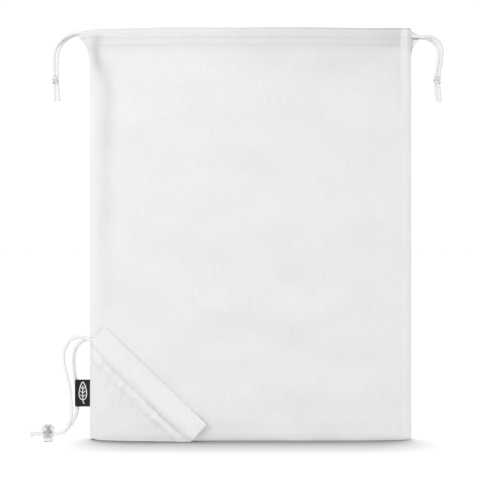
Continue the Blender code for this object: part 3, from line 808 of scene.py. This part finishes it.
def front_wrinkles(x, z):
    """How far the front cloth stands proud of its plain shape."""
    inside = smooth(HALF_WIDTH - np.abs(x), 0.0, 0.03)
    from_seam = (x + POUCH_HALF_WIDTH) * 0.6865 + (z - POUCH_SIDE_HEIGHT) * 0.727
    inside = inside * (0.25 + 0.75 * smooth(from_seam, 0.036, 0.060))  # held flat under the pouch
    inside = inside * (1 - 0.90 * smooth(z, 0.565, 0.598))  # and by the hem's stitches
    lift = waves(x, z, 11, 7, 0.055, 0.140, 0.10, 0.00050) * inside
    lift += waves(x, z, 12, 8, 0.012, 0.030, 0.03, 0.00006) * inside
    lift += crumple(x, z, 13, 14, 0.050, 0.150, 0.0026) * inside
    lift += crumple(x, z, 14, 12, 0.020, 0.050, 0.00030) * inside
    lift += crumple(x, z, 15, 10, 0.014, 0.036, 0.00016) * inside * smooth(z, 0.36, 0.56)
    # the side seam stands out, with a shallow hollow beside it
    open_side = smooth(from_seam, 0.030, 0.060)
    lift -= 0.0016 * bell(x + 0.204, 0.016) * open_side * (1 - smooth(z, 0.56, 0.60))
    # the left ear pulls a deep fold down beside the side seam
    ridge = [(0.010, -0.2350, 0.0004), (0.300, -0.2350, 0.0005), (0.480, -0.2340, 0.0006)]
    ridge += [(0.535, -0.2330, 0.0010), (0.575, -0.2400, 0.0016), (0.600, -0.2430, 0.0012)]
    ridge += [(0.612, -0.2450, 0.0)]
    lift += fold(x, z, ridge, 0.0060)
    hemmed = smooth(z, 0.5880, 0.5960)  # the hem's two layers are stiffer than the panel
    lift -= 0.0026 * fold(x, z, EAR_FOLD, 0.0060) * (1 - 0.65 * hemmed - 0.25 * smooth(z, 0.6010, 0.6080))
    # soft crumples slanting down from the right ear
    slant = [(0.490, 0.140, 0.0), (0.5264, 0.166, 0.0008), (0.5550, 0.190, 0.0013)]
    slant += [(0.5880, 0.2065, 0.0012), (0.600, 0.211, 0.0002)]
    lift -= fold(x, z, slant, 0.010)
    lift += fold(x, z, [(h, p - 0.018, 0.7 * s) for h, p, s in slant], 0.010)
    lift += fold(x, z, [(h, p + 0.016, 0.6 * s) for h, p, s in slant], 0.009)
    # the cloth sinks beside the right seam's allowance
    sunk = between(x, 0.196, 0.2262, 0.2272, 0.2286)
    lift -= 0.0006 * sunk * (1 - smooth(z, 0.590, 0.602))
    for side in (-1, 1):
        lift += allowance_lift(x, z, side)
    return lift


def back_wrinkles(x, z):
    inside = smooth(HALF_WIDTH - np.abs(x), 0.0, 0.03)
    lift = waves(x, z, 21, 7, 0.055, 0.150, 0.12, 0.00060) * inside
    lift += waves(x, z, 22, 8, 0.012, 0.030, 0.03, 0.00007) * inside
    lift += waves(z, x, 23, 4, 0.120, 0.260, 0.35, 0.00040) * inside
    for side in (-1, 1):
        lift += fold(x, z, [(h, side * p, s) for h, p, s in BACK_RIDGE], 0.010)
        lift -= fold(x, z, [(h, side * p, s) for h, p, s in BACK_HOLLOW], 0.009)
        lift += allowance_lift(x, z, side)
    return lift


def hem_wrinkles(x, z, seed):
    """The channel puckers between its stitch lines and gathers at the ears."""
    ear = smooth(np.abs(x), 0.195, 0.250)
    puff = np.sin(math.pi * np.clip((z - STITCH_LOW) / (HEIGHT - STITCH_LOW), 0, 1))
    left = ear * np.where(x < 0, 1.0, 0.35)
    lift = waves(x, z, seed, 7, 0.016, 0.050, 0.5, 0.00022) * puff
    lift += waves(x, z, seed + 1, 6, 0.007, 0.014, 0.9, 0.00040) * puff * left
    return lift


def corner_lift(x):
    """The lower left corner is rounded off."""
    return 0.0052 * smooth(-x, 0.230, 0.2450) ** 1.4


def cloth_painted_shading(x, z, front):
    """How much lighter or darker the cloth's colour is painted. Most is painted shade: over the hem, along
    its stitch lines, on the top fold, in the left ear's fold, beside the left seam, over the upper right, at
    the cloth's right edge and just above the floor. The rear ear is painted lighter, and the seam allowance's
    strip is paler, partly from its doubled cloth and partly painted light.
    """
    # the seam allowance's doubled cloth shows as a paler strip, partly real and partly painted light that
    # grows towards the top; edge is painted shade where the cloth rolls away
    strip = between(x, 0.2285, 0.2297, 0.2385, 0.2400)
    edge = smooth(x, 0.2405, 0.2418)
    hem = smooth(z, 0.5950, 0.6000)
    tone = 0.020 * strip * (0.35 + 0.65 * smooth(z, 0.52, 0.60)) - 0.015 * edge
    # painted shade over the hem, deeper towards the right ear
    tone -= hem * (1 - strip) * (0.020 + 0.066 * smooth(x, 0.165, 0.2262))
    # painted shade along both stitch lines
    for height in (STITCH_HIGH, STITCH_LOW):
        tone -= 0.014 * bell(z - height, 0.0012)
    # painted shade on the fold at the top, darker to the right
    tone -= (0.050 + 0.15 * smooth(x, -0.10, 0.24)) * smooth(z, 0.6218, 0.6240)
    # painted shade just above the floor
    tone -= 0.10 * (1 - smooth(z, 0.0005, 0.0065))
    if front < 0:
        # painted shade in the left ear's fold and in a band beside the left seam
        tone -= 0.155 * fold(x, z, EAR_FOLD, 0.0074)
        tone -= 0.105 * fold(x, z, PAINTED_SIDE_SHADE, 0.0110)
        # painted shade over the upper right of the front, and a little in its upper half
        tone -= 0.060 * smooth(x, -0.14, 0.17) * smooth(z, 0.510, 0.592) * (1 - strip)
        tone -= 0.014 * smooth(x, -0.10, 0.05) * smooth(z, 0.380, 0.500)
    else:
        # painted light on the rear ear's right end, where the front cloth shades it
        tone += (0.40 - 0.26 * smooth(x, 0.2470, 0.2510)) * smooth(x, 0.2436, 0.2450)
    return tone


def finish_cloth(cloth, painted_shading, nodes):
    # stores the painted shade and light that scale the cloth's colour
    seam_layers_and_painted_shade = cloth.data.attributes.new("seam_layers_and_painted_shade", "FLOAT", "POINT")
    seam_layers_and_painted_shade.data.foreach_set("value", painted_shading.astype(np.float32).ravel())
    thicken(cloth, CLOTH)
    seat(cloth, "bag", "cloth", *nodes)
    return cloth


def make_panel(name, front, wrinkles, seed, nodes):
    """One cloth: the folded-in hem edge, up inside, over the top fold, down and under."""
    flat = HALF_WIDTH * np.sin(np.linspace(-math.pi / 2, math.pi / 2, COLUMNS))
    rows = []

    def add_row(z, stand, kind):
        left, right = side_reaches(z, front)
        if kind == "in":  # cut back so that the cords' loops can turn round it
            left = min(left, LEFT_TURN - 0.0002) if z > 0.6098 else left
            right = min(right, RIGHT_TURN - 0.0002) if z > 0.6153 else right
        extra = np.where(flat < 0, HALF_WIDTH - left, right - HALF_WIDTH)
        x = flat + extra * smooth(np.abs(flat), 0.205, 0.244)
        height = np.full_like(x, z)
        if kind == "body":
            depth = panel_depth(flat, z)
            depth = depth + wrinkles(x, height)
            height = height + corner_lift(x) * (1 - smooth(height, 0.0, 0.035))
        elif kind == "floor":
            depth = PANEL_EDGE + stand * np.maximum(BASE_HALF_DEPTH * roundness(flat, HALF_WIDTH), 0.001)
            height = height + corner_lift(x)
        else:
            ear = smooth(np.abs(x), 0.228, 0.256) * np.where((x > 0) & (front < 0), 0.0, 1.0)
            tight = 1 + 0.10 * ear
            puckers = hem_wrinkles(x, height, seed)
            depth = mouth_half(x) + stand * tight + puckers * (0.6 if kind == "out" else -0.5)
            if kind == "in":
                depth = np.minimum(depth, panel_depth(flat, z) + stand - 0.0003) if z < 0.600 else depth
                if front > 0:  # the rear ear's inner layer leans forward at the right
                    lean = 0.0102 - 0.0068 * smooth(z, 0.6085, 0.6105)
                    late = 0.0048 * (1 - smooth(z, 0.5965, 0.6010))  # clear of the seam allowance
                    lean = lean * smooth(x, 0.2385 + late, 0.2450 + late * 0.5)
                    depth = depth - lean * smooth(z, 0.5870, 0.5960)
            droop = np.where(x > 0, 0.95, 0.85)  # the left ear's top sinks lower
            low = STITCH_HIGH - 0.0008 * (x < 0) + (z - STITCH_HIGH) * droop
            if z >= STITCH_HIGH:
                height = height + (low - height) * ear
            top = smooth(height, STITCH_HIGH, HEIGHT)
            sag = 0.0009 * smooth(z, 0.6225, 0.6262) + 0.0010 * smooth(-x, 0.150, 0.225) * top
            height = height - sag
            broad = waves(x, height, seed + 5, 4, 0.09, 0.24, 0.0, 0.00022)
            fine = waves(x, height, seed + 6, 5, 0.010, 0.022, 0.0, 0.00030)
            height = height + top * (broad + fine * ear)
            share = 1 - 0.5 * smooth(z, 0.5960, 0.6000) - 0.5 * smooth(z, 0.6130, 0.6240)
            depth = depth + share * wrinkles(x, height)
        rows.append(np.stack([x, front * depth, height], axis=1))

    for z, stand in HEM_INSIDE:
        add_row(z, -stand, "in")
    for z, stand in HEM_OUTSIDE:
        add_row(z, stand, "out")
    for z in np.concatenate([np.linspace(0.5935, 0.0350, 164), np.linspace(0.032, 0.004, 12)]):
        add_row(z, 0.0, "body")
    for z, share in ((0.0016, 1.06), (0.0006, 1.0), (0.0004, 0.85), (0.0004, 0.45), (0.0004, 0.0)):
        add_row(z, share, "floor")
    points = np.array(rows)
    along = distances(points[:, COLUMNS // 2])
    uvs = spread(points[BODY_ROW, :, 0], along[:, None], points.shape[:2])
    cloth = add_grid(name, points, CLOTH_WHITE, uvs, flip=front < 0)
    return finish_cloth(cloth, cloth_painted_shading(points[:, :, 0], points[:, :, 2], front), nodes)


front_cloth = make_panel("front_cloth", -1, front_wrinkles, 31, ["front_panel", "front_hem"])
back_cloth = make_panel("back_cloth", 1, back_wrinkles, 41, ["back_panel", "back_hem"])

# ---- the corner pouch ----

# the band: metres across it from the stitch line, outer and inner distance from its middle
BAND_OUTSIDE = [
    (0.0006, 0.0004), (0.0016, 0.0012), (0.0028, 0.0022), (0.0042, 0.0030), (0.0060, 0.0034),
    (0.0080, 0.0036), (0.0100, 0.0035), (0.0120, 0.0033), (0.0140, 0.0030), (0.0165, 0.0027),
    (0.0190, 0.0024), (0.0215, 0.0022), (0.0245, 0.0019), (0.0275, 0.0017), (0.0305, 0.0014),
    (0.0330, 0.0012), (0.0348, 0.0009), (0.0359, 0.0005), (0.0364, 0.0001),
]
BAND_INSIDE = [
    (0.0360, -0.0004), (0.0350, -0.0006), (0.0330, -0.0008), (0.0300, -0.0010), (0.0260, -0.0012),
    (0.0220, -0.0014), (0.0180, -0.0018), (0.0145, -0.0024), (0.0120, -0.0029), (0.0098, -0.0032),
    (0.0078, -0.0033), (0.0058, -0.0031), (0.0040, -0.0023), (0.0025, -0.0013), (0.0012, -0.0004),
    (0.0004, 0.0001),
]
POUCH_COLUMNS = 161
BAND_LENGTH = 0.2109


def gathers(s, seed, size, close=0.055, apart=0.105, sharp=1.0):
    """Uneven pleats along the pouch's mouth."""
    draw = random.Random(seed)
    total = np.zeros_like(s)
    place = 0.02
    while place < 0.99:
        wide = draw.uniform(0.016, 0.030) / sharp
        total += draw.uniform(0.35, 1.0) * bell(s - place, wide)
        place += draw.uniform(close, apart)
    return (total - 0.40) * size


def pouch_gather(a, below, seed):
    """The cloth just below the band: a lumpy roll with a crease under it, pleated by the seam."""
    distance = a * BAND_LENGTH
    wander = waves(distance, distance * 0, seed + 4, 5, 0.030, 0.080, 0.0, 0.0016)
    roll = np.exp(-np.abs((below - 0.0092 - wander) / 0.0056) ** 3)
    crease = bell(below - 0.0182 - wander * 1.3, 0.0042)
    lean = a + below * 1.2
    lumps = gathers(lean, seed, 1.0, 0.045, 0.090)
    fine = crumple(distance, below, seed + 3, 12, 0.011, 0.026, 1.0)
    lift = roll * (0.0024 + 0.0007 * lumps + 0.0012 * fine)
    lift -= crease * (0.0013 + 0.0004 * lumps - 0.0006 * fine)
    seam = bell(below, 0.0024)
    lift -= seam * (0.0010 + 0.0008 * gathers(a, seed + 5, 1.0, 0.040, 0.080, 1.5))
    trail = between(below, 0.016, 0.022, 0.024, 0.040)
    lift += trail * 0.0004 * (lumps + fine)
    return lift


def make_pouch(name, flip, seed, nodes):
    """One cloth: the triangle over the corner, then the band folded back on itself."""
    side, base, along, across = band_direction()
    corner = Vector((-POUCH_HALF_WIDTH, 0, POUCH_FOOT))
    s = np.sin(math.pi / 2 * np.linspace(0, 1, POUCH_COLUMNS)) ** 1.35
    edge = smooth(s, 0.0, 0.10) * smooth(1 - s, 0.0, 0.06)
    reach = (side - corner).length * abs(across.z)
    shares = np.concatenate([np.linspace(0.015, 0.60, 26), np.linspace(0.61, 1.0, 62)])
    rows, flats = [], []
    for v in shares:
        half_width = POUCH_HALF_WIDTH + POUCH_FLARE * v**6
        x = corner.x + v * s * (base.x - corner.x)
        z = corner.z + v * (1 - s) * (side.z - corner.z)
        below = np.full_like(s, (1 - v) * reach)
        place = ((x - side.x) * along.x + (z - side.z) * along.z) / BAND_LENGTH
        ends = smooth(place, 0.0, 0.09) * smooth(1 - place, 0.0, 0.07)
        depth = pouch_depth(x, z, half_width)
        soft = crumple(x, z, seed + 2, 10, 0.030, 0.080, 0.0016)
        soft = soft * smooth(v, 0.1, 0.4) * smooth(z, 0.004, 0.020)
        closer = 0.0050 * (1 - smooth(v, 0.55, 0.97)) * roundness(x, half_width)
        depth = depth - closer + pouch_gather(place, below, seed) * ends + soft * edge
        z = z + corner_lift(x) * (1 - smooth(z, 0.0, 0.035))
        rows.append(np.stack([x, -depth, z], axis=1))
        flats.append(np.stack([x, z], axis=1))
    for part, profile in (("out", BAND_OUTSIDE), ("in", BAND_INSIDE)):
        for t, stand in profile:
            points = np.array([tuple(side + (base - side) * k + across * t) for k in s])
            half_width = POUCH_HALF_WIDTH + POUCH_FLARE
            round_off = roundness(points[:, 0], half_width)
            nearer = 0.0082 * smooth(t, 0.006, 0.034) * (1 - 0.70 * smooth(s, 0.86, 1.0))
            points[:, 1] = -(pouch_depth(points[:, 0], points[:, 2], half_width) - nearer * round_off)
            outward = np.cross(unit_rows(np.gradient(points, axis=0)), np.array(tuple(across)))
            outward[:, 1] = -np.abs(outward[:, 1])
            outward = unit_rows(outward)
            near_seam = bell(t, 0.0030)
            bumps = -gathers(s, seed + 5, 0.0006, 0.040, 0.080, 1.5) * near_seam
            flat = crumple(s * BAND_LENGTH, np.full_like(s, t), seed + 9, 6, 0.025, 0.070, 0.00065)
            flat = flat * between(t, 0.004, 0.014, 0.034, 0.0365)
            lift = stand + (bumps + flat if part == "out" else 0.4 * (bumps + flat))
            points = points + outward * lift[:, None]
            wander = waves(s * BAND_LENGTH, s * 0, seed + 11, 5, 0.035, 0.090, 0.0, 0.00030)
            points = points + np.array(tuple(across)) * (wander * smooth(t, 0.012, 0.036))[:, None]
            if part == "in":
                points = points + np.array(tuple(along)) * (0.0012 * smooth(s, 0.96, 1.0))[:, None]
            points[:, 2] = np.maximum(points[:, 2], 0.0006)
            rows.append(points)
            flats.append(points[:, [0, 2]])
    points = np.array(rows)
    if flip:
        points[:, :, 1] *= -1
    cloth = add_grid(name, points, CLOTH_WHITE, np.array(flats), flip=flip)
    # painted shade near the floor, and the whole pouch painted a little darker
    painted_shading = -0.10 * (1 - smooth(points[:, :, 2], 0.0010, 0.0070)) - 0.012
    return finish_cloth(cloth, painted_shading, nodes)


pouch_front_cloth = make_pouch("pouch_front_cloth", False, 61, ["pouch_front", "pouch_band_front"])
pouch_back_cloth = make_pouch("pouch_back_cloth", True, 71, ["pouch_back", "pouch_band_back"])

# ---- seams and stitches ----


def seam_strip(name, start, end, across, node):
    """A seam allowance inside the bag: both cloths together, overlocked along the free edge."""
    start, end, across = Vector(start), Vector(end), Vector(across)
    count = round((end - start).length / 0.004)
    draw = random.Random(name)
    rows = []
    for i in range(count + 1):
        base = start.lerp(end, i / count)
        sway = 0.0004 * math.sin(i * 0.37) + draw.uniform(-0.0001, 0.0001)
        rows.append([base + across * (j / 8) + Vector((0, sway * j / 8, 0)) for j in range(9)])
    points = np.array([[tuple(p) for p in row] for row in rows])
    strip = add_grid(name, points, CLOTH_WHITE, points[:, :, [0, 2]])
    thicken(strip, 0.0009)
    zigzag = []
    edge = across.normalized()
    for i in range(count * 3):
        base = start.lerp(end, i / (count * 3))
        side = (-1, 1)[i % 2]
        reach = across.length - (0.0045 if i % 2 else -0.0003)
        zigzag.append(base + edge * reach + Vector((0, 0.00055 * side, 0)))
    thread = tube(name + "_thread", np.array([tuple(p) for p in zigzag]), 0.00022, THREAD, sides=6)
    seat(strip, "bag", "cloth", node)
    seat(thread, "bag", "cloth")


SEAM_TOP = 0.5973
SEAM_X = 0.2438
BOTTOM_ENDS = ((-0.2300, 0, 0.0006), (0.2400, 0, 0.0006))
seam_strip("bottom_seam_allowance", *BOTTOM_ENDS, (0, 0, 0.0144), "bottom_seam")
for word, side in (("left", -1), ("right", 1)):
    ends = ((side * SEAM_X, 0, 0.0160), (side * SEAM_X, 0, SEAM_TOP))
    seam_strip(f"{word}_seam_allowance", *ends, (-side * 0.0148, 0, 0), f"{word}_side_seam")


def stitch_row(name, line, out, pitch=0.0030, length=0.0024, thick=0.00020):
    """Lock stitches along a line of surface points; out is the way out of the cloth."""
    line = even_steps(line, pitch)
    out = Vector(out).normalized()
    verts, faces = [], []
    sides = 6
    for a, b in zip(line, line[1:]):
        middle = (Vector(a) + Vector(b)) / 2
        along = (Vector(b) - Vector(a)).normalized()
        across = along.cross(out).normalized()
        up = across.cross(along).normalized()
        first = len(verts)
        shares = (-0.5, -0.44, -0.25, 0.0, 0.25, 0.44, 0.5)
        for share in shares:
            bow = thick * (1.1 - 6.4 * share * share)
            wide = thick * math.sqrt(max(0.05, 1 - (2 * abs(share)) ** 4))
            centre = middle + along * (share * length) + up * bow
            for k in range(sides):
                angle = 2 * math.pi * k / sides
                verts.append(centre + across * (wide * math.cos(angle)) + up * (wide * math.sin(angle)))
        for r in range(len(shares) - 1):
            for k in range(sides):
                n = (k + 1) % sides
                p = first + r * sides
                faces.append((p + k, p + sides + k, p + sides + n, p + n))
        faces.append(tuple(first + k for k in range(sides)))
        last = first + (len(shares) - 1) * sides
        faces.append(tuple(last + k for k in reversed(range(sides))))
    seat(add_mesh(name, verts, faces, THREAD), "bag", "cloth")


def hem_line(front, z, reach, outside):
    """Points on the hem's stitch line, just off the cloth."""
    stand = (0.0024 if z > 0.605 else 0.0013) if outside else -0.0004
    return [(x, front * (float(mouth_half(x)) + stand), z) for x in np.linspace(-reach, reach, 240)]


for label, front in (("front", -1), ("back", 1)):
    for height, tag, reach in ((STITCH_HIGH, "upper", 0.243), (STITCH_LOW, "lower", 0.241)):
        for place, outside, out in (("", True, front), ("inside_", False, -front)):
            line = hem_line(front, height, reach, outside)
            stitch_row(f"hem_stitches_{place}{label}_{tag}", line, (0, out, 0))

for label, flip in (("front", False), ("back", True)):
    line = [band_point(k, -0.0002, 0.0004) for k in np.linspace(0.03, 0.985, 160)]
    if flip:
        line = mirrored(line)
    stitch_row(f"pouch_stitches_{label}", [tuple(p) for p in line], (-0.15, 1 if flip else -1, 0))

# ---- the cord stopper ----


def turned(name, profile, segments, material):
    """A profile of (radius, height), from its top on the axis outside down, turned about Z."""
    verts, faces, rings = [], [], []
    for radius, height in profile:
        count = segments if radius else 1
        rings.append(range(len(verts), len(verts) + count))
        for k in range(count):
            angle = 2 * math.pi * k / segments
            verts.append(STOPPER + Vector((radius * math.cos(angle), radius * math.sin(angle), height)))
    for upper, lower in zip(rings, rings[1:]):
        for k in range(segments):
            n = (k + 1) % segments
            if len(upper) == 1:
                faces.append((upper[0], lower[k], lower[n]))
            elif len(lower) == 1:
                faces.append((upper[k], lower[0], upper[n]))
            else:
                faces.append((upper[k], lower[k], lower[n], upper[n]))
    return add_mesh(name, verts, faces, material)


def arc(centre, radius, start, end, steps):
    angles = [math.radians(start + (end - start) * i / steps) for i in range(steps + 1)]
    return [(centre[0] + radius * math.cos(a), centre[1] + radius * math.sin(a)) for a in angles]


def cut_slot(target, low, high, half_width):
    """A rounded slot along X for the two strands."""
    mesh = bpy.data.meshes.new(target.name + "_slot")
    shape = bmesh.new()
    bmesh.ops.create_cube(shape, size=1.0)
    for vert in shape.verts:
        vert.co = Vector((vert.co.x * 0.03, vert.co.y * 2 * half_width, vert.co.z * (high - low)))
    edges = [e for e in shape.edges if abs(e.verts[0].co.x - e.verts[1].co.x) > 0.01]
    bmesh.ops.bevel(shape, geom=edges, offset=0.0024, segments=8, affect="EDGES", profile=0.5)
    bmesh.ops.translate(shape, verts=shape.verts, vec=STOPPER + Vector((0, 0, (low + high) / 2)))
    shape.to_mesh(mesh)
    shape.free()
    cutter = add_object(target.name + "_slot", mesh)
    cut = target.modifiers.new("slot", "BOOLEAN")
    cut.object = cutter
    cut.operation = "DIFFERENCE"
    cut.solver = "EXACT"
    graph = bpy.context.evaluated_depsgraph_get()
    cut_mesh = bpy.data.meshes.new_from_object(target.evaluated_get(graph))
    target.modifiers.clear()
    target.data = cut_mesh
    bpy.data.objects.remove(cutter, do_unlink=True)
    target.data.set_sharp_from_angle(angle=math.radians(35))


BALL_RIM = 0.0080  # radius of the ball's open underside
BALL_BORE = 0.0067
SLOT_HALF_WIDTH = 0.0054
SLOT_HALF_HEIGHT = 0.0027
PLUNGER_ROOM = 0.0033  # how much further down the plunger's slot goes, so that it can be pressed
SPRING_RADIUS = 0.0029
SPRING_WIRE = 0.00035

ball_drop = math.degrees(math.acos(BALL_RIM / BALL_RADIUS))
ball_profile = arc((0.0, BALL_TOP - BALL_RADIUS), BALL_RADIUS, 90, -ball_drop, 40)
ball_profile[0] = (0.0, BALL_TOP)
ball_profile += [(BALL_RIM, 0.0074), (0.0079, 0.0070), (0.0076, 0.0068), (0.0068, 0.0068)]
ball_profile += [(BALL_BORE, 0.0070), (BALL_BORE, 0.0193), (0.0040, 0.0193), (0.0040, 0.0233), (0.0, 0.0233)]
ball = turned("stopper_clear_ball", ball_profile, 64, CLEAR)
slot_low, slot_high = STOPPER_CORD_Z - SLOT_HALF_HEIGHT, STOPPER_CORD_Z + SLOT_HALF_HEIGHT
cut_slot(ball, slot_low, slot_high, SLOT_HALF_WIDTH)
seat(ball, "stopper", "clear_plastic", "stopper_ball")

plunger_profile = [(0.0, 0.0161), (0.0052, 0.0161)]
plunger_profile += arc((0.00575, 0.0154), 0.0007, 90, 0, 6)
plunger_profile += arc((0.00545, 0.0011), 0.0010, 0, -90, 8)
plunger_profile += [(0.0030, 0.0003), (0.0, 0.0005)]
plunger = turned("stopper_press_button", plunger_profile, 64, FROSTED)
cut_slot(plunger, slot_low - PLUNGER_ROOM, slot_high, SLOT_HALF_WIDTH)
seat(plunger, "plunger", "clear_plastic", "stopper_plunger")

coils = []
for i in range(4 * 32 + 1):
    angle = 2 * math.pi * i / 32
    height = SPRING_LOW + SPRING_WIRE + (SPRING_HIGH - SPRING_LOW - 2 * SPRING_WIRE) * i / 128
    around = Vector((SPRING_RADIUS * math.cos(angle), SPRING_RADIUS * math.sin(angle), height))
    coils.append(STOPPER + around)
spring = tube("stopper_coil_spring", even_steps(coils, 0.0005), SPRING_WIRE, STEEL, sides=12)
seat(spring, "stopper", "spring", "stopper_spring")
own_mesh(spring)

# ---- the side label ----


def label_share(x):
    """0 at the seam, 1 at the label's fold."""
    return (LABEL_X - x) / (LABEL_X - LABEL_TIP)


def label_curl(x, z):
    """How far the label bends forward of its plane."""
    rise = (z - LABEL_BOTTOM) / (LABEL_TOP - LABEL_BOTTOM)
    return 0.0007 * label_share(x) ** 2 * math.sin(2.2 * rise + 0.5)


def add_label():
    """A strip folded double at its free edge, a little rounded at its corners."""
    half = 0.00055
    edge = [(LABEL_X - back, 1.0) for back in (0.0, 0.004, 0.008, 0.012, 0.016)]
    edge += [(LABEL_TIP + 0.0012, 1.0), (LABEL_TIP + 0.0005, 0.85), (LABEL_TIP + 0.0001, 0.5)]
    outline = [(x, -half * k) for x, k in edge] + [(LABEL_TIP, 0.0)]
    outline += [(x, half * k) for x, k in reversed(edge)]
    rows = []
    for z in np.linspace(LABEL_BOTTOM, LABEL_TOP, 48):
        inset = 0.0009 * math.exp(-min(z - LABEL_BOTTOM, LABEL_TOP - z) / 0.0009)
        rows.append([(x + inset * label_share(x), y - label_curl(x, z), z) for x, y in outline])
    points = np.array(rows)
    uvs = spread(distances(points[20]), points[:, :, 2], points.shape[:2])
    label = add_grid("woven_side_label", points, LABEL_BLACK, uvs)
    thicken(label, 0.00035)
    seat(label, "label", "label", "side_label")


def label_ribbon(name, line, width):
    """A raised satin-stitched line on the label's front."""
    line = even_steps([(x, 0.0, z) for x, z in line], 0.00035)
    tangent = unit_rows(np.gradient(line, axis=0))
    rows = []
    for i, (point, way) in enumerate(zip(line, tangent)):
        across = np.array([way[2], 0.0, -way[0]])
        row = []
        for k in (-0.5, -0.35, 0.0, 0.35, 0.5):
            x, _, z = point + across * (k * width)
            lift = 0.00072 + 0.00016 * (1 - (2 * k) ** 2) + 0.00003 * (i % 2)
            row.append((x, -lift - label_curl(x, point[2]), z))
        rows.append(row)
    points = np.array(rows)
    ribbon = add_grid(name, points, LABEL_WHITE, points[:, :, [0, 2]])
    thicken(ribbon, 0.00012)
    seat(ribbon, "label", "label")


def label_curve(name, places, step, width):
    route = smooth_route([(x, 0, z) for x, z in places], step)
    label_ribbon(name, [(p.x, p.z) for p in route], width)


LEAF_X = (LABEL_X + LABEL_TIP) / 2
LEAF_LOW = 0.0600
LEAF_HIGH = 0.0868
# each pair of veins: height on the stem, and how far it reaches
VEINS = [(0.0650, 0.0040), (0.0708, 0.0042), (0.0764, 0.0030)]

add_label()
leaf = []
for i in range(81):
    t = 2 * math.pi * i / 80
    rise = 0.5 - 0.5 * math.cos(t)
    wide = 0.0066 * math.sin(t) * (0.82 + 0.30 * math.cos(t))
    leaf.append((LEAF_X + wide, LEAF_LOW + (LEAF_HIGH - LEAF_LOW) * rise))
label_ribbon("label_leaf_outline", leaf, 0.0014)
stem = [(LEAF_X + 0.0022, 0.0538), (LEAF_X + 0.0006, 0.0562), (LEAF_X, 0.0600)]
stem += [(LEAF_X - 0.0002, 0.0700), (LEAF_X, 0.0815)]
label_curve("label_leaf_stem", stem, 0.0005, 0.0013)
for i, (z, size) in enumerate(VEINS):
    for sign in (-1, 1):
        vein = [(LEAF_X, z), (LEAF_X + sign * size * 0.6, z + 0.0012), (LEAF_X + sign * size, z + 0.0030)]
        label_curve(f"label_leaf_vein_{i}_{sign + 1}", vein, 0.0004, 0.0009)

# ---- floor and light ----

# how bright the world is from the front (0) round to the back (1), as light on things
WORLD_SHADES = [(0.0, 1.0), (0.35, 0.80), (0.6, 0.46), (1.0, 0.32)]
# and as what clear plastic shows behind itself, dimmer where the light is bent aside
THROUGH_SHADES = [(0.0, 0.62), (0.60, 0.70), (0.86, 0.82), (0.955, 0.94), (1.0, 1.0)]
SHOWN_WHITE = 1.05
FLOOR_TONE = 0.34
FLOOR_GLOW = 0.74
FLOOR_SIZE = 30.0


def light_world():
    """White to the camera; as light, bright in front of the bag and dimmer round and behind it."""
    world = bpy.data.worlds.new("studio")
    bpy.context.scene.world = world
    look = Look(world)
    shown = look.add("Background", {"Color": (1.0, 1.0, 1.0, 1.0), "Strength": SHOWN_WHITE})
    way = look.split(look.place("Generated"))["Y"]
    behind = look.add("MapRange", {"Value": way, "From Min": -1.0}).outputs["Result"]
    look.put(look.shader, {"Color": look.ramp(behind, *WORLD_SHADES)})
    through = look.add("Background", {"Color": look.ramp(behind, *THROUGH_SHADES)})
    path = look.add("LightPath").outputs
    bent = look.mix(path["Is Transmission Ray"], look.shader, through)
    look.mix(path["Is Camera Ray"], bent, shown)


def add_light(name, kind, direction, power):
    light = add_object(name, bpy.data.lights.new(name, kind))
    light.rotation_euler = Vector(direction).to_track_quat("-Z", "Y").to_euler()
    light.data.energy = power
    return light


def collected(name, pieces):
    collection = bpy.data.collections.new(name)
    for piece in pieces:
        collection.objects.link(piece)
    return collection


def add_sun(name, direction, power, spread_angle, lights):
    """A sun that lights only the given pieces."""
    sun = add_light(name, "SUN", direction, power)
    sun.data.angle = math.radians(spread_angle)
    sun.light_linking.receiver_collection = collected("lit_by_" + name, lights)
    return sun


def add_softbox(name, place, target, size, power):
    box = add_light(name, "AREA", Vector(target) - Vector(place), power)
    box.location = place
    box.data.size = size


def add_floor():
    """A pale seamless floor, lit to white, so that only its contact shadow shows."""
    look = new_look("studio_floor")
    tone = (FLOOR_TONE, FLOOR_TONE, FLOOR_TONE, 1.0)
    look.put(look.shader, {"Base Color": tone, "Roughness": 1.0, "Specular IOR Level": 0.0})
    glow = look.add("Emission", {"Strength": FLOOR_GLOW})
    path = look.add("LightPath").outputs
    look.mix(look.maths("MAXIMUM", path["Is Camera Ray"], path["Is Transmission Ray"]), glow, look.shader)
    corners = [(FLOOR_SIZE * x, FLOOR_SIZE * y, 0) for x, y in ((-1, -1), (1, -1), (1, 1), (-1, 1))]
    floor = add_mesh("studio_floor", corners, [(0, 1, 2, 3)], look.owner)
    return floor


light_world()
floor = add_floor()
all_cloth = [front_cloth, back_cloth, pouch_front_cloth, pouch_back_cloth]
add_softbox("left_softbox", (-1.6, -1.9, 1.1), (0.0, 0.0, 0.32), 1.2, 19.0)
overhead = add_sun("overhead_on_floor", (0.0, -0.115, -1.0), 7.8, 18, [floor])
overhead.light_linking.blocker_collection = collected("shade_floor", all_cloth)
add_sun("back_fill", (0.25, -1.0, -0.35), 1.7, 60, [back_cloth, pouch_back_cloth])
add_sun("left_rim", (1.0, 0.0, -0.06), 1.15, 40, all_cloth)
add_sun("right_rim", (-1.0, 0.30, -0.10), 1.4, 40, all_cloth)

scene = bpy.context.scene
scene.view_settings.view_transform = "Standard"
scene.view_settings.look = "None"
scene.view_settings.exposure = 0.0
scene.view_settings.gamma = 1.0
